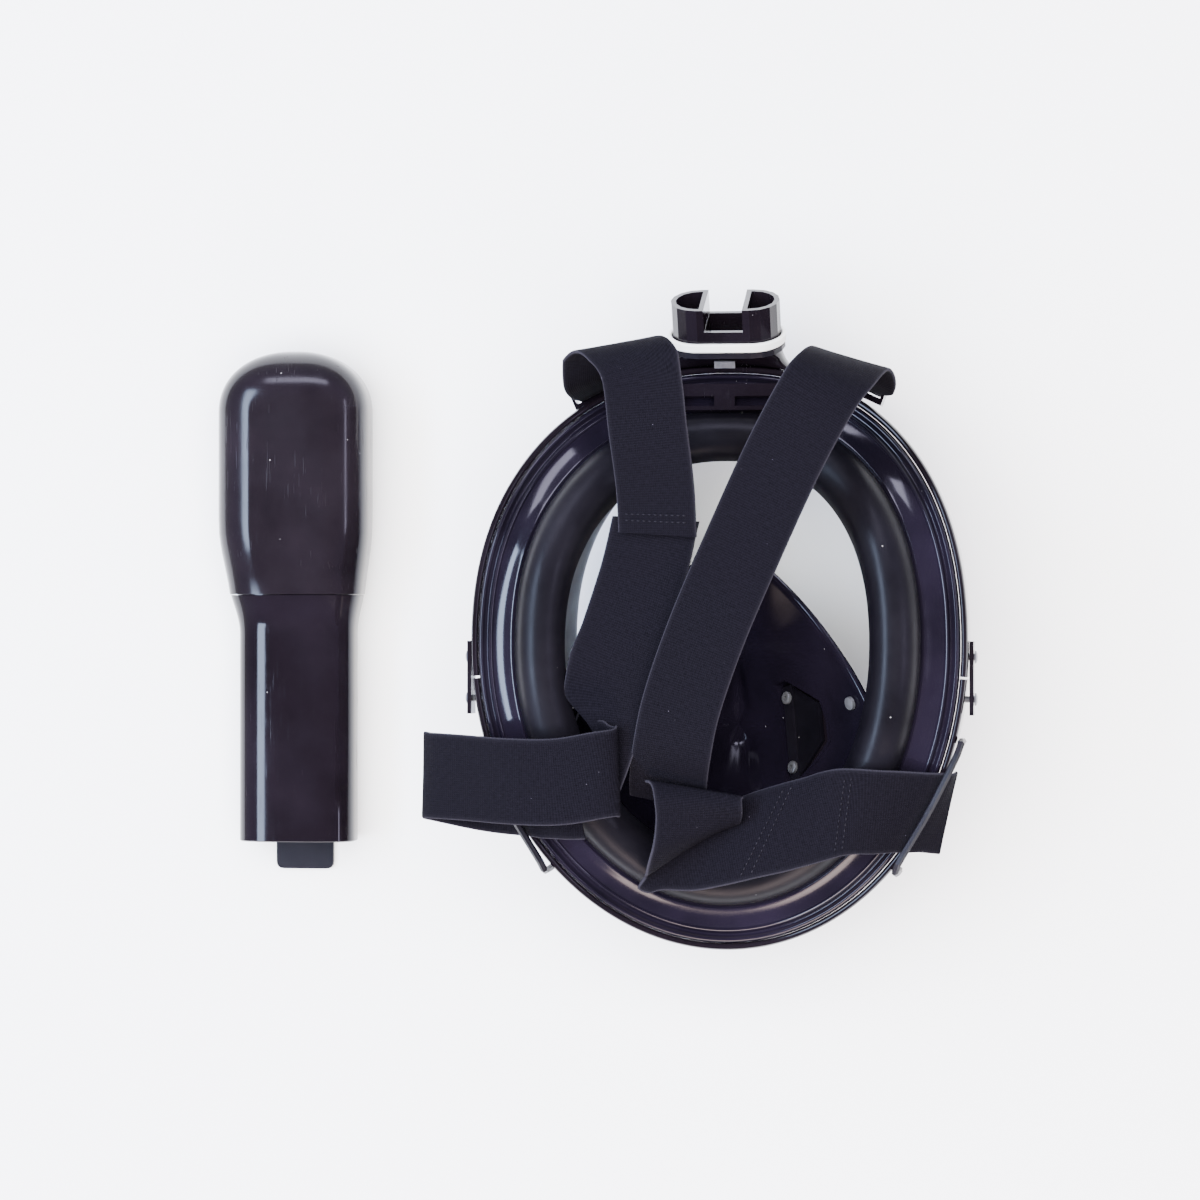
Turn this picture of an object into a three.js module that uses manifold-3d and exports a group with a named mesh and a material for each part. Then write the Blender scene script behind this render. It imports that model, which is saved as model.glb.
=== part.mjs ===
// Full face snorkel: a mask lying on its clear lens, face side up, and its detached dry-top tube beside it.
// Millimetres. +Z points from the lens to the wearer's face, +Y to the crown, +X across the mask.
// The origin is the middle of the flat panel of the lens, which is the surface that everything lies on.
import * as THREE from "three";
import { mergeVertices } from "three/addons/utils/BufferGeometryUtils.js";
import Module from "manifold-3d";

const wasm = await Module();
wasm.setup();

// ---- driving dimensions ----
const CLEARANCE = 0.4; // between pieces that meet
const RIM_HALF_WIDTH = 95; // outer rim of the mask
const RIM_TOP = 108; // from the widest line up to the forehead
const RIM_CHIN = 118; // from the widest line down to the chin
const TOP_POWER = 2.25; // superellipse power above the widest line
const CHIN_POWER = 2; // and below it
const SIDE_HEIGHT = 88; // height of the rim over the lens at the cheeks
const FOREHEAD_DROP = 33; // how much lower the rim is at the forehead
const CHIN_DROP = 26; // and at the chin
const FRAME_THICK = 2.6;
const FRAME_DEPTH = 16;
const FRAME_SPLIT = THREE.MathUtils.degToRad(-6); // where the two frame halves meet
const LENS_INSET = FRAME_THICK + CLEARANCE;
const LENS_THICK = 2.2;
const LENS_FLAT = 0.45; // share of the lens that is its flat front panel
const LENS_EDGE_DROP = 1; // the lens edge ends this far below the rim
const POCKET_Y = -32; // middle of the nose and mouth pocket
const POCKET_HALF_WIDTH = 58;
const POCKET_TOP = 69;
const POCKET_CHIN = 51;
const POCKET_TOP_POWER = 1.3;
const POCKET_CHIN_POWER = 1.7;
const POCKET_FLOOR_Z = 15;
const POCKET_SIDE_Z = 72;
const POCKET_THICK = 2.6;
const POCKET_FLAT = 0.12; // share of the pocket that is its flat bottom
const SOCKET_TILT = THREE.MathUtils.degToRad(26); // the socket leans this far to the face side
const SOCKET_TOP = new THREE.Vector3(0, 133.2, 62);
const SOCKET_LENGTH = 24;
const SOCKET_HALF_WIDTH = 21.2;
const SOCKET_HALF_DEPTH = 11;
const SOCKET_WALL = 2;
const DIVIDER_X = 8.4; // middle of each divider wall of the socket
const NOTCH_WIDTH = 15;
const NOTCH_DEPTH = 9;
const SEAL_FROM_TOP = 17; // underside of the seal ring below the socket mouth
const SEAL_HEIGHT = 3.6;
const STRAP_WIDTH = 32;
const STRAP_THICK = 1.6;
const LUG_BAR_RADIUS = 1.4;
const TUBE_X = -178.4; // middle of the detached tube
const TUBE_TOP_Y = 117.3;
const TUBE_JOINT_Y = 19.2;
const TUBE_END_Y = -79.8;
const TUBE_HALF_WIDTH = 23.6;
const TUBE_HALF_DEPTH = 14;
const TUBE_WALL = 2;
const TUBE_POWER = 3;
const CAP_HALF_WIDTH = 30.6;
const CAP_HALF_DEPTH = 20;
const CAP_DOME = 25;
const TONGUE_HALF_WIDTH = 11.75;
const TONGUE_TOP_Y = -56;
const TONGUE_END_Y = -91.9;
const FLOAT_TRAVEL = 10;
const RING_STEPS = 48;
const TUBE_STEPS = 28;
const SIDES = [["right", 1], ["left", -1]];

const BLACK_GLOSS = new THREE.MeshStandardMaterial({ color: 0x15121c, roughness: 0.12 });
const BLACK_SATIN = new THREE.MeshStandardMaterial({ color: 0x17151c, roughness: 0.4 });
const SILICONE = new THREE.MeshStandardMaterial({ color: 0x121017, roughness: 0.3 });
const CLEAR = new THREE.MeshStandardMaterial({ color: 0xe9f0f4, roughness: 0.05 });
CLEAR.transparent = true;
CLEAR.opacity = 0.25;
const WHITE_RUBBER = new THREE.MeshStandardMaterial({ color: 0xe8e8e4, roughness: 0.5 });
const WEBBING = new THREE.MeshStandardMaterial({ color: 0x1d1b26, roughness: 0.9 });
const FLOAT_PLASTIC = new THREE.MeshStandardMaterial({ color: 0xd9d9d2, roughness: 0.4 });
const STEEL = new THREE.MeshStandardMaterial({ color: 0xb9bcc2, roughness: 0.3, metalness: 1 });

const model = new THREE.Group();

// ---- solids ----
function vec(x, y, z) {
  return new THREE.Vector3(x, y, z);
}

function power(value, exponent) {
  return Math.sign(value) * Math.abs(value) ** exponent;
}

function range(count) {
  return Array.from({ length: count }, (_, i) => i);
}

// Keeps position only, joins equal vertices, drops flat triangles and turns the faces outwards.
function weld(geometry) {
  const plain = geometry.clone();
  plain.deleteAttribute("normal");
  plain.deleteAttribute("uv");
  const merged = mergeVertices(plain, 1e-4);
  const position = merged.getAttribute("position");
  const corners = [vec(0, 0, 0), vec(0, 0, 0), vec(0, 0, 0)];
  const kept = [];
  let volume = 0;
  for (let i = 0; i < merged.index.count; i += 3) {
    const ids = [0, 1, 2].map((k) => merged.index.getX(i + k));
    if (ids[0] === ids[1] || ids[1] === ids[2] || ids[2] === ids[0]) continue;
    ids.forEach((id, k) => corners[k].fromBufferAttribute(position, id));
    volume += corners[0].dot(corners[1].clone().cross(corners[2]));
    kept.push(ids);
  }
  const order = volume < 0 ? kept.map(([a, b, c]) => [a, c, b]) : kept;
  merged.setIndex(order.flat());
  return merged;
}

// A solid skinned over rows of points. Each row is a loop; the rows loop too, or end in points or caps.
function skin(rows, { loopRows = false, caps = false } = {}) {
  const width = rows[0].length;
  const points = rows.flat();
  const index = [];
  const rowCount = loopRows ? rows.length : rows.length - 1;
  for (let i = 0; i < rowCount; i++) {
    const next = (i + 1) % rows.length;
    for (let j = 0; j < width; j++) {
      const side = (j + 1) % width;
      const quad = [i * width + j, next * width + j, next * width + side, i * width + side];
      index.push(quad[0], quad[1], quad[2], quad[0], quad[2], quad[3]);
    }
  }
  if (caps) {
    const last = (rows.length - 1) * width;
    for (let j = 1; j < width - 1; j++) {
      index.push(0, j, j + 1);
      index.push(last, last + j + 1, last + j);
    }
  }
  const geometry = new THREE.BufferGeometry().setFromPoints(points);
  geometry.setIndex(index);
  return weld(geometry);
}

function toManifold(geometry) {
  const plain = weld(geometry);
  const vertProperties = new Float32Array(plain.getAttribute("position").array);
  const triVerts = new Uint32Array(plain.index.array);
  return new wasm.Manifold(new wasm.Mesh({ numProp: 3, vertProperties, triVerts }));
}

function fromManifold(solid) {
  const mesh = solid.getMesh();
  const geometry = new THREE.BufferGeometry();
  geometry.setAttribute("position", new THREE.BufferAttribute(new Float32Array(mesh.vertProperties), 3));
  geometry.setIndex([...mesh.triVerts]);
  return geometry;
}

function cut(geometry, tools) {
  return fromManifold(tools.reduce((solid, tool) => solid.subtract(toManifold(tool)), toManifold(geometry)));
}

function join(geometries) {
  return fromManifold(geometries.map(toManifold).reduce((solid, other) => solid.add(other)));
}

function add(name, geometry, material, matrix = new THREE.Matrix4()) {
  const mesh = new THREE.Mesh(geometry.clone().applyMatrix4(matrix), material);
  mesh.name = name;
  model.add(mesh);
}

function box(size, centre) {
  return new THREE.BoxGeometry(size.x, size.y, size.z).translate(centre.x, centre.y, centre.z);
}

// A solid turned about local Z from [radius, height] points.
function turned(profile, sides) {
  const points = profile.map(([radius, height]) => new THREE.Vector2(radius, height));
  return weld(new THREE.LatheGeometry(points, sides).rotateX(Math.PI / 2));
}

// A flat outline with straight sides.
function polygon(points, Kind = THREE.Shape) {
  return new Kind(points.map(([x, y]) => new THREE.Vector2(x, y)));
}

// A round bar along local Z, standing on `from`.
function rod(radius, length, from = vec(0, 0, 0), sides = 16) {
  const bar = new THREE.CylinderGeometry(radius, radius, length, sides).rotateX(Math.PI / 2);
  return bar.translate(from.x, from.y, from.z + length / 2);
}

function extrude(shape, depth, steps = 12) {
  return new THREE.ExtrudeGeometry(shape, { depth, bevelEnabled: false, curveSegments: steps });
}

// Points of a half circle on the +X side, from its low end to its high end.
function halfCircle(radius, centreX, steps = 8) {
  return range(steps + 1).map((i) => {
    const a = (Math.PI * i) / steps - Math.PI / 2;
    return new THREE.Vector2(centreX + radius * Math.cos(a), radius * Math.sin(a));
  });
}

// Points of an oblong with round ends.
function oblong(halfWidth, halfDepth) {
  const right = halfCircle(halfDepth, halfWidth - halfDepth);
  return [...right, ...right.map((point) => point.clone().negate())];
}

function roundHole(radius, x, y) {
  return new THREE.Path().absarc(x, y, radius, 0, 2 * Math.PI, false);
}

// ---- the outline and height of the mask's rim ----
function rimPowerAt(t) {
  return Math.sin(t) > 0 ? TOP_POWER : CHIN_POWER;
}

function rimPoint(t, inset = 0) {
  const exponent = 2 / rimPowerAt(t);
  const height = (Math.sin(t) > 0 ? RIM_TOP : RIM_CHIN) - inset;
  const x = (RIM_HALF_WIDTH - inset) * power(Math.cos(t), exponent);
  return new THREE.Vector2(x, height * power(Math.sin(t), exponent));
}

// Distance of the upper rim from the widest line at x.
function rimTopAtX(x) {
  return RIM_TOP * (1 - (Math.abs(x) / RIM_HALF_WIDTH) ** TOP_POWER) ** (1 / TOP_POWER);
}

function rimHeight(t) {
  const drop = Math.sin(t) > 0 ? FOREHEAD_DROP : CHIN_DROP;
  return SIDE_HEIGHT - drop * Math.sin(t) ** 2;
}

// The place on the rim at angle t, with the directions along it and out of it.
function rimPlace(t, outward = 0) {
  const here = rimPoint(t);
  const along = rimPoint(t + 0.01).sub(rimPoint(t - 0.01)).normalize();
  const out = new THREE.Vector2(along.y, -along.x);
  return { at: here.addScaledVector(out, outward), along, out, z: rimHeight(t) };
}

// The angle of the rim point whose height over the widest line is y, on the +X side.
function rimAngleAtY(y) {
  const height = y > 0 ? RIM_TOP : RIM_CHIN;
  return Math.asin(power(y / height, (y > 0 ? TOP_POWER : CHIN_POWER) / 2));
}

function aroundRim(section, steps = RING_STEPS) {
  return range(steps).map((i) => section((2 * Math.PI * i) / steps));
}

// ---- lens ----
function lensRing(t, share, lift) {
  const rise = Math.max(0, (share - LENS_FLAT) / (1 - LENS_FLAT));
  const z = (rimHeight(t) - LENS_EDGE_DROP) * (1 - Math.sqrt(1 - rise ** 2));
  const rim = rimPoint(t, LENS_INSET + lift * LENS_THICK * rise).multiplyScalar(share);
  return vec(rim.x, rim.y, z + lift * LENS_THICK * (1 - rise));
}

// Height of the inner face of the lens over a point of the plan.
function lensInnerHeight(x, y) {
  const n = y > 0 ? TOP_POWER : CHIN_POWER;
  const across = Math.abs(x) / (RIM_HALF_WIDTH - LENS_INSET);
  const up = Math.abs(y) / ((y > 0 ? RIM_TOP : RIM_CHIN) - LENS_INSET);
  const share = (across ** n + up ** n) ** (1 / n);
  const t = Math.atan2(power(Math.sign(y) * up, n / 2), across ** (n / 2));
  return lensRing(t, Math.min(share, 1), 1).z;
}

function lensShares() {
  const rings = 9;
  return range(rings + 1).map((i) => LENS_FLAT + (1 - LENS_FLAT) * Math.sin((Math.PI * i) / (2 * rings)));
}

function lensShell() {
  const shares = lensShares();
  const ring = (share, lift) => aroundRim((t) => lensRing(t, share, lift));
  const outside = shares.map((share) => ring(share, 0));
  const inside = shares.map((share) => ring(share, 1)).reverse();
  const rows = [ring(0, 0), ...outside, ...inside, ring(0, 1)];
  return skin(rows);
}

// ---- frame ----
function frameSection(t) {
  const profile = [
    [0, -FRAME_DEPTH],
    [0, 0.2],
    [0.8, 1.4],
    [2, 1.4],
    [FRAME_THICK, 0],
    [FRAME_THICK, -FRAME_DEPTH],
  ];
  return profile.map(([inset, rise]) => {
    const rim = rimPoint(t, inset);
    return vec(rim.x, rim.y, rimHeight(t) + rise);
  });
}

function frameHalf(from, to) {
  const steps = 34;
  return skin(range(steps + 1).map((i) => frameSection(from + ((to - from) * i) / steps)), { caps: true });
}

function ductWindow() {
  return box(vec(40, 24, 10), vec(0, RIM_TOP, 47));
}

const CLIP_Y = rimPoint(FRAME_SPLIT).y;
const SCREW_OFFSETS = [8, -8];
const CLIP_THICK = 1.6;
const CLIP_X = RIM_HALF_WIDTH + CLEARANCE;
const CLIP_Z = SIDE_HEIGHT - 7;
const SCREW_HOLE = 1.6; // radius

function screwHoles(side) {
  return SCREW_OFFSETS.map((offset) => {
    const bar = new THREE.CylinderGeometry(SCREW_HOLE, SCREW_HOLE, 14, 14).rotateZ(Math.PI / 2);
    return bar.translate(side * CLIP_X, CLIP_Y + offset, CLIP_Z);
  });
}

function addFrame() {
  const gap = 0.004; // radians between the halves
  const holes = [...screwHoles(1), ...screwHoles(-1)];
  const upper = frameHalf(FRAME_SPLIT + gap, Math.PI - FRAME_SPLIT - gap);
  const lower = frameHalf(Math.PI - FRAME_SPLIT + gap, 2 * Math.PI + FRAME_SPLIT - gap);
  add("frame_upper", cut(upper, [ductWindow(), ...holes]), BLACK_GLOSS);
  add("frame_lower", cut(lower, holes), BLACK_GLOSS);
  const screw = turned([[0, -5], [1.25, -5], [1.25, 0.2], [2.5, 0.2], [2.3, 0.8], [1.4, 1.2], [0, 1.3]], 12);
  for (const [label, side] of SIDES) {
    const plate = box(vec(CLIP_THICK, 28, 10), vec(side * (CLIP_X + CLIP_THICK / 2), CLIP_Y, CLIP_Z));
    add(`frame_clip_${label}`, cut(plate, screwHoles(side)), BLACK_GLOSS);
    SCREW_OFFSETS.forEach((offset, i) => {
      const matrix = new THREE.Matrix4().makeRotationY((side * Math.PI) / 2);
      matrix.setPosition(side * (CLIP_X + CLIP_THICK), CLIP_Y + offset, CLIP_Z);
      add(`frame_screw_${label}_${i + 1}`, screw, STEEL, matrix);
    });
  }
}

// ---- skirt: flange, flat band, face seal roll and the wall that stands on the lens ----
// Points of the section as [inset from the rim, rise over the rim], from the flange to the lip of the roll.
const SKIRT_TOP = [
  [3.2, -0.5], [3.2, 1.8], [4.4, 2.4], [5.6, 0.8], [6.6, 0.8], [7.8, 2.8], [9, 2.2], [12.6, 3],
  [16.2, 4.4], [17, 4], [18.4, 7.2], [21.4, 10.8], [26, 12.8], [30.6, 12.3], [34.4, 9.6], [37, 4],
];
const SKIRT_UNDER = [[35.4, 3.6], [33.4, 7.4], [30, 9.7], [26, 10.2], [22.8, 8.6], [20.8, 5.6]];
const SKIRT_BAND_UNDER = [[16.4, 2.6], [9, -0.5]];
const WALL_FOOT_INSET = 30;
const WALL_THICK = 2;
const WALL_FOOT_GAP = 2.2; // the lens is faceted, so its facets rise over the true curve

function skirtSection(t) {
  const lift = ([inset, rise]) => {
    const rim = rimPoint(t, inset);
    return vec(rim.x, rim.y, rimHeight(t) + rise);
  };
  const wall = (share, extra) => {
    const inset = 24 + (WALL_FOOT_INSET - 24) * share - extra;
    const rim = rimPoint(t, inset);
    const foot = lensInnerHeight(rim.x, rim.y) + WALL_FOOT_GAP;
    return vec(rim.x, rim.y, THREE.MathUtils.lerp(rimHeight(t) + 2, foot, share));
  };
  const inner = [wall(0, 0), wall(0.5, 0), wall(1, 0)];
  const outer = [wall(1, WALL_THICK), wall(0.5, WALL_THICK), wall(0, WALL_THICK)];
  const under = SKIRT_UNDER.map(lift);
  const bandUnder = SKIRT_BAND_UNDER.map(lift);
  return [...SKIRT_TOP.map(lift), ...under, ...inner, ...outer, ...bandUnder];
}

function addSkirt() {
  add("skirt", skin(aroundRim(skirtSection), { loopRows: true }), SILICONE);
}

// ---- forehead vent: the bridge over the band with its two air slots ----
const VENT_Y = 93.5;
const VENT_RISE = 7; // over the rim

function addForeheadVent() {
  const shape = new THREE.Shape();
  shape.moveTo(-25, -3.6);
  shape.lineTo(25, -3.6);
  shape.quadraticCurveTo(23, 3, 20, 7);
  shape.lineTo(-20, 7);
  shape.quadraticCurveTo(-23, 3, -25, -3.6);
  const slots = [-11, 11].map((x) => box(vec(14, 4, 12), vec(x, 0, 1)));
  const plate = cut(extrude(shape, 2.4, 6), slots);
  const slope = Math.atan2(3.2, 11.6); // of the band under it
  const matrix = new THREE.Matrix4().makeRotationX(-slope);
  matrix.setPosition(0, VENT_Y, rimHeight(Math.PI / 2) + VENT_RISE);
  add("forehead_vent", plate, BLACK_GLOSS, matrix);
}

// ---- nose and mouth pocket ----
const POCKET_BRIDGE_DROP = 24; // how much lower the lip is at the bridge of the nose than at the sides
const POCKET_CHIN_DROP = 16; // and at the chin

function pocketLipHeight(t) {
  return POCKET_SIDE_Z - (Math.sin(t) > 0 ? POCKET_BRIDGE_DROP : POCKET_CHIN_DROP) * Math.sin(t) ** 2;
}

function pocketPoint(t, share, drop = 0) {
  const top = Math.sin(t) > 0;
  const exponent = 2 / (top ? POCKET_TOP_POWER : POCKET_CHIN_POWER);
  const height = top ? POCKET_TOP : POCKET_CHIN;
  const x = POCKET_HALF_WIDTH * power(Math.cos(t), exponent) * share;
  const y = POCKET_Y + height * power(Math.sin(t), exponent) * share;
  const rise = Math.max(0, (Math.min(share, 1) - POCKET_FLAT) / (1 - POCKET_FLAT)) ** 1.15;
  return vec(x, y, POCKET_FLOOR_Z + (pocketLipHeight(t) - POCKET_FLOOR_Z) * rise - drop);
}

function pocketHeight(x, y) {
  const top = y > POCKET_Y;
  const n = top ? POCKET_TOP_POWER : POCKET_CHIN_POWER;
  const across = Math.abs(x) / POCKET_HALF_WIDTH;
  const up = Math.abs(y - POCKET_Y) / (top ? POCKET_TOP : POCKET_CHIN);
  const share = (across ** n + up ** n) ** (1 / n);
  const t = Math.atan2((top ? 1 : -1) * up ** (n / 2), across ** (n / 2));
  return pocketPoint(t, share).z;
}

function pocketBowl() {
  const shares = [POCKET_FLAT, 0.25, 0.4, 0.55, 0.7, 0.85, 1];
  const steps = 44;
  const angles = range(steps).map((i) => (2 * Math.PI * (i + 0.5)) / steps);
  const ring = (share, drop) => angles.map((t) => pocketPoint(t, share, drop));
  const inside = shares.map((share) => ring(share, 0));
  const outside = shares.map((share) => ring(share, POCKET_THICK)).reverse();
  const flange = [ring(1.04, -0.4), ring(1.04, 1.4)];
  const pole = (drop) => range(steps).map(() => vec(0, POCKET_Y, POCKET_FLOOR_Z - drop));
  return skin([pole(0), ...inside, ...flange, ...outside, pole(POCKET_THICK)]);
}

// Inhale valves: a seat set in each side wall, a strip held by two pins, and the flap that swings from it.
const VALVE_X = 25;
const VALVE_Y = -35;
const VALVE_LEAN = THREE.MathUtils.degToRad(21); // the hinge line runs outwards towards the chin
const PIN_SPACING = 28;
const PIN_HOLE = 1.7; // radius
const STUD_X = 49.3; // a stud joins each side of the pocket to the tab of the skirt behind it
const STUD_Y = -22.2;

// A place on the inner face of the pocket: local X down the given lean in the plan, local Z out of the face.
function pocketPlace(side, x, y, lean) {
  const reach = 6;
  const slopeX = (pocketHeight(side * x + reach, y) - pocketHeight(side * x - reach, y)) / (2 * reach);
  const slopeY = (pocketHeight(side * x, y + reach) - pocketHeight(side * x, y - reach)) / (2 * reach);
  const normal = vec(-slopeX, -slopeY, 1).normalize();
  const plan = vec(side * Math.sin(lean), -Math.cos(lean), 0);
  const hinge = plan.addScaledVector(normal, -plan.dot(normal)).setLength(side);
  const matrix = new THREE.Matrix4().makeBasis(hinge, normal.clone().cross(hinge), normal);
  return matrix.setPosition(side * x, y, pocketHeight(side * x, y));
}

function valveMatrix(side) {
  return pocketPlace(side, VALVE_X, VALVE_Y, VALVE_LEAN);
}

function studMatrix(side) {
  return pocketPlace(side, STUD_X, STUD_Y, 0);
}

// Outline of the valve seat in its own plane: the strip side at low v, the tapered flap side at high v.
function seatOutline(grow = 0) {
  const foot = 20 + grow;
  const tip = 8 + grow / 2;
  const low = -4 - grow;
  const high = 20 + grow;
  return polygon([[-foot, low], [foot, low], [foot, 3], [tip, high], [-tip, high], [-foot, 3]]);
}

function pinHoles() {
  return [1, -1].map((end) => roundHole(PIN_HOLE, (end * PIN_SPACING) / 2, 0));
}

function addPocket() {
  const cuts = SIDES.flatMap(([, side]) => [
    extrude(seatOutline(CLEARANCE), 30, 4).translate(0, 0, -16).applyMatrix4(valveMatrix(side)),
    rod(PIN_HOLE, 12, vec(0, 0, -6), 14).applyMatrix4(studMatrix(side)),
  ]);
  add("orinasal_pocket", cut(pocketBowl(), cuts), SILICONE);
  const pin = turned(
    [[0, -2.6], [1.3, -2.6], [1.3, 2.9], [2.5, 2.9], [2.5, 4], [2, 4.4], [0.9, 4.4], [0.9, 3.4], [0, 3.4]],
    14,
  );
  const stud = turned(
    [[0, -4], [2.2, -4], [2.2, -3.2], [1.3, -3.2], [1.3, 0.6], [2.7, 0.6], [2.5, 1.8], [0, 2.2]],
    14,
  );
  for (const [label, side] of SIDES) {
    const place = valveMatrix(side);
    const seat = seatOutline();
    const port = polygon([[-14, 5], [-5.5, 16.5], [5.5, 16.5], [14, 5]], THREE.Path);
    seat.holes.push(port, ...pinHoles());
    add(`pocket_valve_seat_${label}`, extrude(seat, 2.2, 4).translate(0, 0, -1.2), BLACK_GLOSS, place);
    const strip = polygon([[-19, -3.2], [19, -3.2], [19, 2.4], [-19, 2.4]]);
    strip.holes.push(...pinHoles());
    add(`pocket_valve_strip_${label}`, extrude(strip, 1.2, 4).translate(0, 0, 1.3), BLACK_SATIN, place);
    const flap = polygon([[-18, 2.9], [18, 2.9], [7.5, 18.6], [-7.5, 18.6]]);
    add(`pocket_valve_flap_${label}`, extrude(flap, 0.9, 4).translate(0, 0, 1.4), SILICONE, place);
    [1, -1].forEach((end, i) => {
      const along = new THREE.Matrix4().makeTranslation((end * PIN_SPACING) / 2, 0, 0);
      add(`pocket_valve_pin_${label}_${i + 1}`, pin, STEEL, place.clone().multiply(along));
    });
    add(`pocket_stud_${label}`, stud, STEEL, studMatrix(side));
  }
}

// ---- chin drain: seat in the lens wall, mushroom disc and slotted cover ----
const DRAIN_SHARE = 0.9;

function drainMatrix() {
  const chin = -Math.PI / 2;
  const [below, here, above] = [-0.05, 0, 0.05].map((step) => lensRing(chin, DRAIN_SHARE + step, 0.5));
  const along = above.sub(below).normalize();
  const across = vec(1, 0, 0);
  const out = across.clone().cross(along);
  if (out.z > 0) out.negate();
  const matrix = new THREE.Matrix4().makeBasis(across, out.clone().cross(across), out);
  return matrix.setPosition(here);
}

function addDrain() {
  const place = drainMatrix();
  const seat = new THREE.Shape().absarc(0, 0, 10, 0, 2 * Math.PI, false);
  seat.holes.push(roundHole(1.4, 0, 0));
  for (const i of range(6)) {
    const angle = (Math.PI * i) / 3;
    seat.holes.push(roundHole(2.1, 5.4 * Math.cos(angle), 5.4 * Math.sin(angle)));
  }
  add("drain_seat", extrude(seat, 2.4, 8).translate(0, 0, -1.2), BLACK_SATIN, place);
  const stem = [[0, -4.4], [1.9, -4.4], [1.9, -3.4], [1.1, -3.4], [1.1, 1.6]];
  const disc = [...stem, [8.6, 1.6], [8.6, 2.3], [0, 2.9]];
  add("drain_disc", turned(disc, 24), SILICONE, place);
  const cover = turned(
    [[0, 6.4], [9.4, 6.4], [10.2, 5.6], [10.2, 2.4], [11.8, 2.4], [11.8, 6.2], [10.4, 7.8], [0, 7.8]],
    24,
  );
  const slots = [-5, 0, 5].map((y) => box(vec(13, 2, 8), vec(0, y, 8)));
  add("drain_cover", cut(cover, slots), BLACK_GLOSS, place);
}

function addLens() {
  const drain = rod(10.4, 20, vec(0, 0, -10), 32).applyMatrix4(drainMatrix());
  const duct = box(vec(40, 24, 40), vec(0, RIM_TOP, 62));
  add("lens", cut(lensShell(), [drain, duct]), CLEAR);
}

// ---- snorkel socket ----
// Local Z is the socket's axis and points out of its mouth; local +Y is the lens side.
function socketMatrix(down) {
  const matrix = new THREE.Matrix4().makeRotationX(SOCKET_TILT - Math.PI / 2);
  const axis = vec(0, Math.cos(SOCKET_TILT), Math.sin(SOCKET_TILT));
  return matrix.setPosition(SOCKET_TOP.clone().addScaledVector(axis, -down));
}

// A slice of the socket, grown outwards, with its middle channel and its two side channels.
function socketSlice(grow, depth) {
  const half = SOCKET_HALF_DEPTH - SOCKET_WALL;
  const inner = DIVIDER_X - SOCKET_WALL / 2;
  const outer = DIVIDER_X + SOCKET_WALL / 2;
  const ends = halfCircle(half, SOCKET_HALF_WIDTH - SOCKET_WALL - half);
  const side = [new THREE.Vector2(outer, -half), ...ends, new THREE.Vector2(outer, half)];
  const otherSide = side.map((point) => point.clone().negate());
  const channels = [side, otherSide].map((points) => {
    return extrude(new THREE.Shape(points), depth + 2).translate(0, 0, -1);
  });
  const middle = box(vec(2 * inner, 2 * half, depth + 2), vec(0, 0, depth / 2));
  const slab = extrude(new THREE.Shape(oblong(SOCKET_HALF_WIDTH + grow, SOCKET_HALF_DEPTH + grow)), depth);
  return cut(slab, [middle, ...channels]);
}

const SIDE_PORT_X = 13.1; // middle of each exhaust port under its flap

function addSocket() {
  const length = SEAL_FROM_TOP;
  const notch = box(vec(NOTCH_WIDTH, 3 * SOCKET_HALF_DEPTH, 2 * NOTCH_DEPTH), vec(0, 0, length));
  add("snorkel_socket", cut(socketSlice(0, length), [notch]), BLACK_GLOSS, socketMatrix(length));

  const ring = new THREE.Shape(oblong(SOCKET_HALF_WIDTH + 1.9, SOCKET_HALF_DEPTH + 1.9));
  ring.holes.push(new THREE.Path(oblong(SOCKET_HALF_WIDTH + 0.35, SOCKET_HALF_DEPTH + 0.35)));
  add("socket_seal", extrude(ring, SEAL_HEIGHT, 8), WHITE_RUBBER, socketMatrix(length));

  const slab = extrude(new THREE.Shape(oblong(SOCKET_HALF_WIDTH + 1.4, SOCKET_HALF_DEPTH + 1.4)), 2);
  const ports = [-1, 1].map((side) => box(vec(4.4, 10, 6), vec(side * SIDE_PORT_X, 0, 1)));
  const plate = cut(slab, [box(vec(12.8, 16, 6), vec(0, 0, 1)), ...ports]);
  add("socket_valve_plate", plate, BLACK_SATIN, socketMatrix(length + CLEARANCE + 2));

  for (const [label, side] of SIDES) {
    const flap = box(vec(6.4, 12, 0.8), vec(side * SIDE_PORT_X, 0, 1.2));
    add(`exhaust_flap_${label}`, flap, SILICONE, socketMatrix(length));
  }
}

// The neck flares from the valve plate down to the top of the frame, and is hollow.
const NECK_TOP_DOWN = SEAL_FROM_TOP + 2 * CLEARANCE + 2;

function addNeck() {
  const steps = 32;
  const place = socketMatrix(NECK_TOP_DOWN);
  const upper = (inset) => range(steps).map((i) => {
    const a = (2 * Math.PI * i) / steps;
    const x = (SOCKET_HALF_WIDTH - 1 - inset) * power(Math.cos(a), 0.7);
    const y = (SOCKET_HALF_DEPTH - inset) * power(Math.sin(a), 0.8);
    return vec(x, -y, 0).applyMatrix4(place);
  });
  const lower = (inset) => range(steps).map((i) => {
    const a = (2 * Math.PI * i) / steps;
    const x = (29 - inset) * power(Math.cos(a), 0.8);
    return vec(x, rimTopAtX(x) + CLEARANCE, 47 + (9.5 - inset) * power(Math.sin(a), 0.8));
  });
  const waist = (inset) => {
    const low = lower(inset);
    return upper(inset).map((point, i) => point.lerp(low[i], 0.55).multiply(vec(0.93, 1, 1)));
  };
  const rows = [lower(0), waist(0), upper(0), upper(2), waist(2), lower(2)];
  add("socket_neck", skin(rows, { loopRows: true }), BLACK_GLOSS);
  const catchPlate = box(vec(8, 1.2, 2.6), vec(0, -SOCKET_HALF_DEPTH - 0.9, -2.2));
  add("tube_catch", catchPlate, STEEL, place);
}

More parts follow.
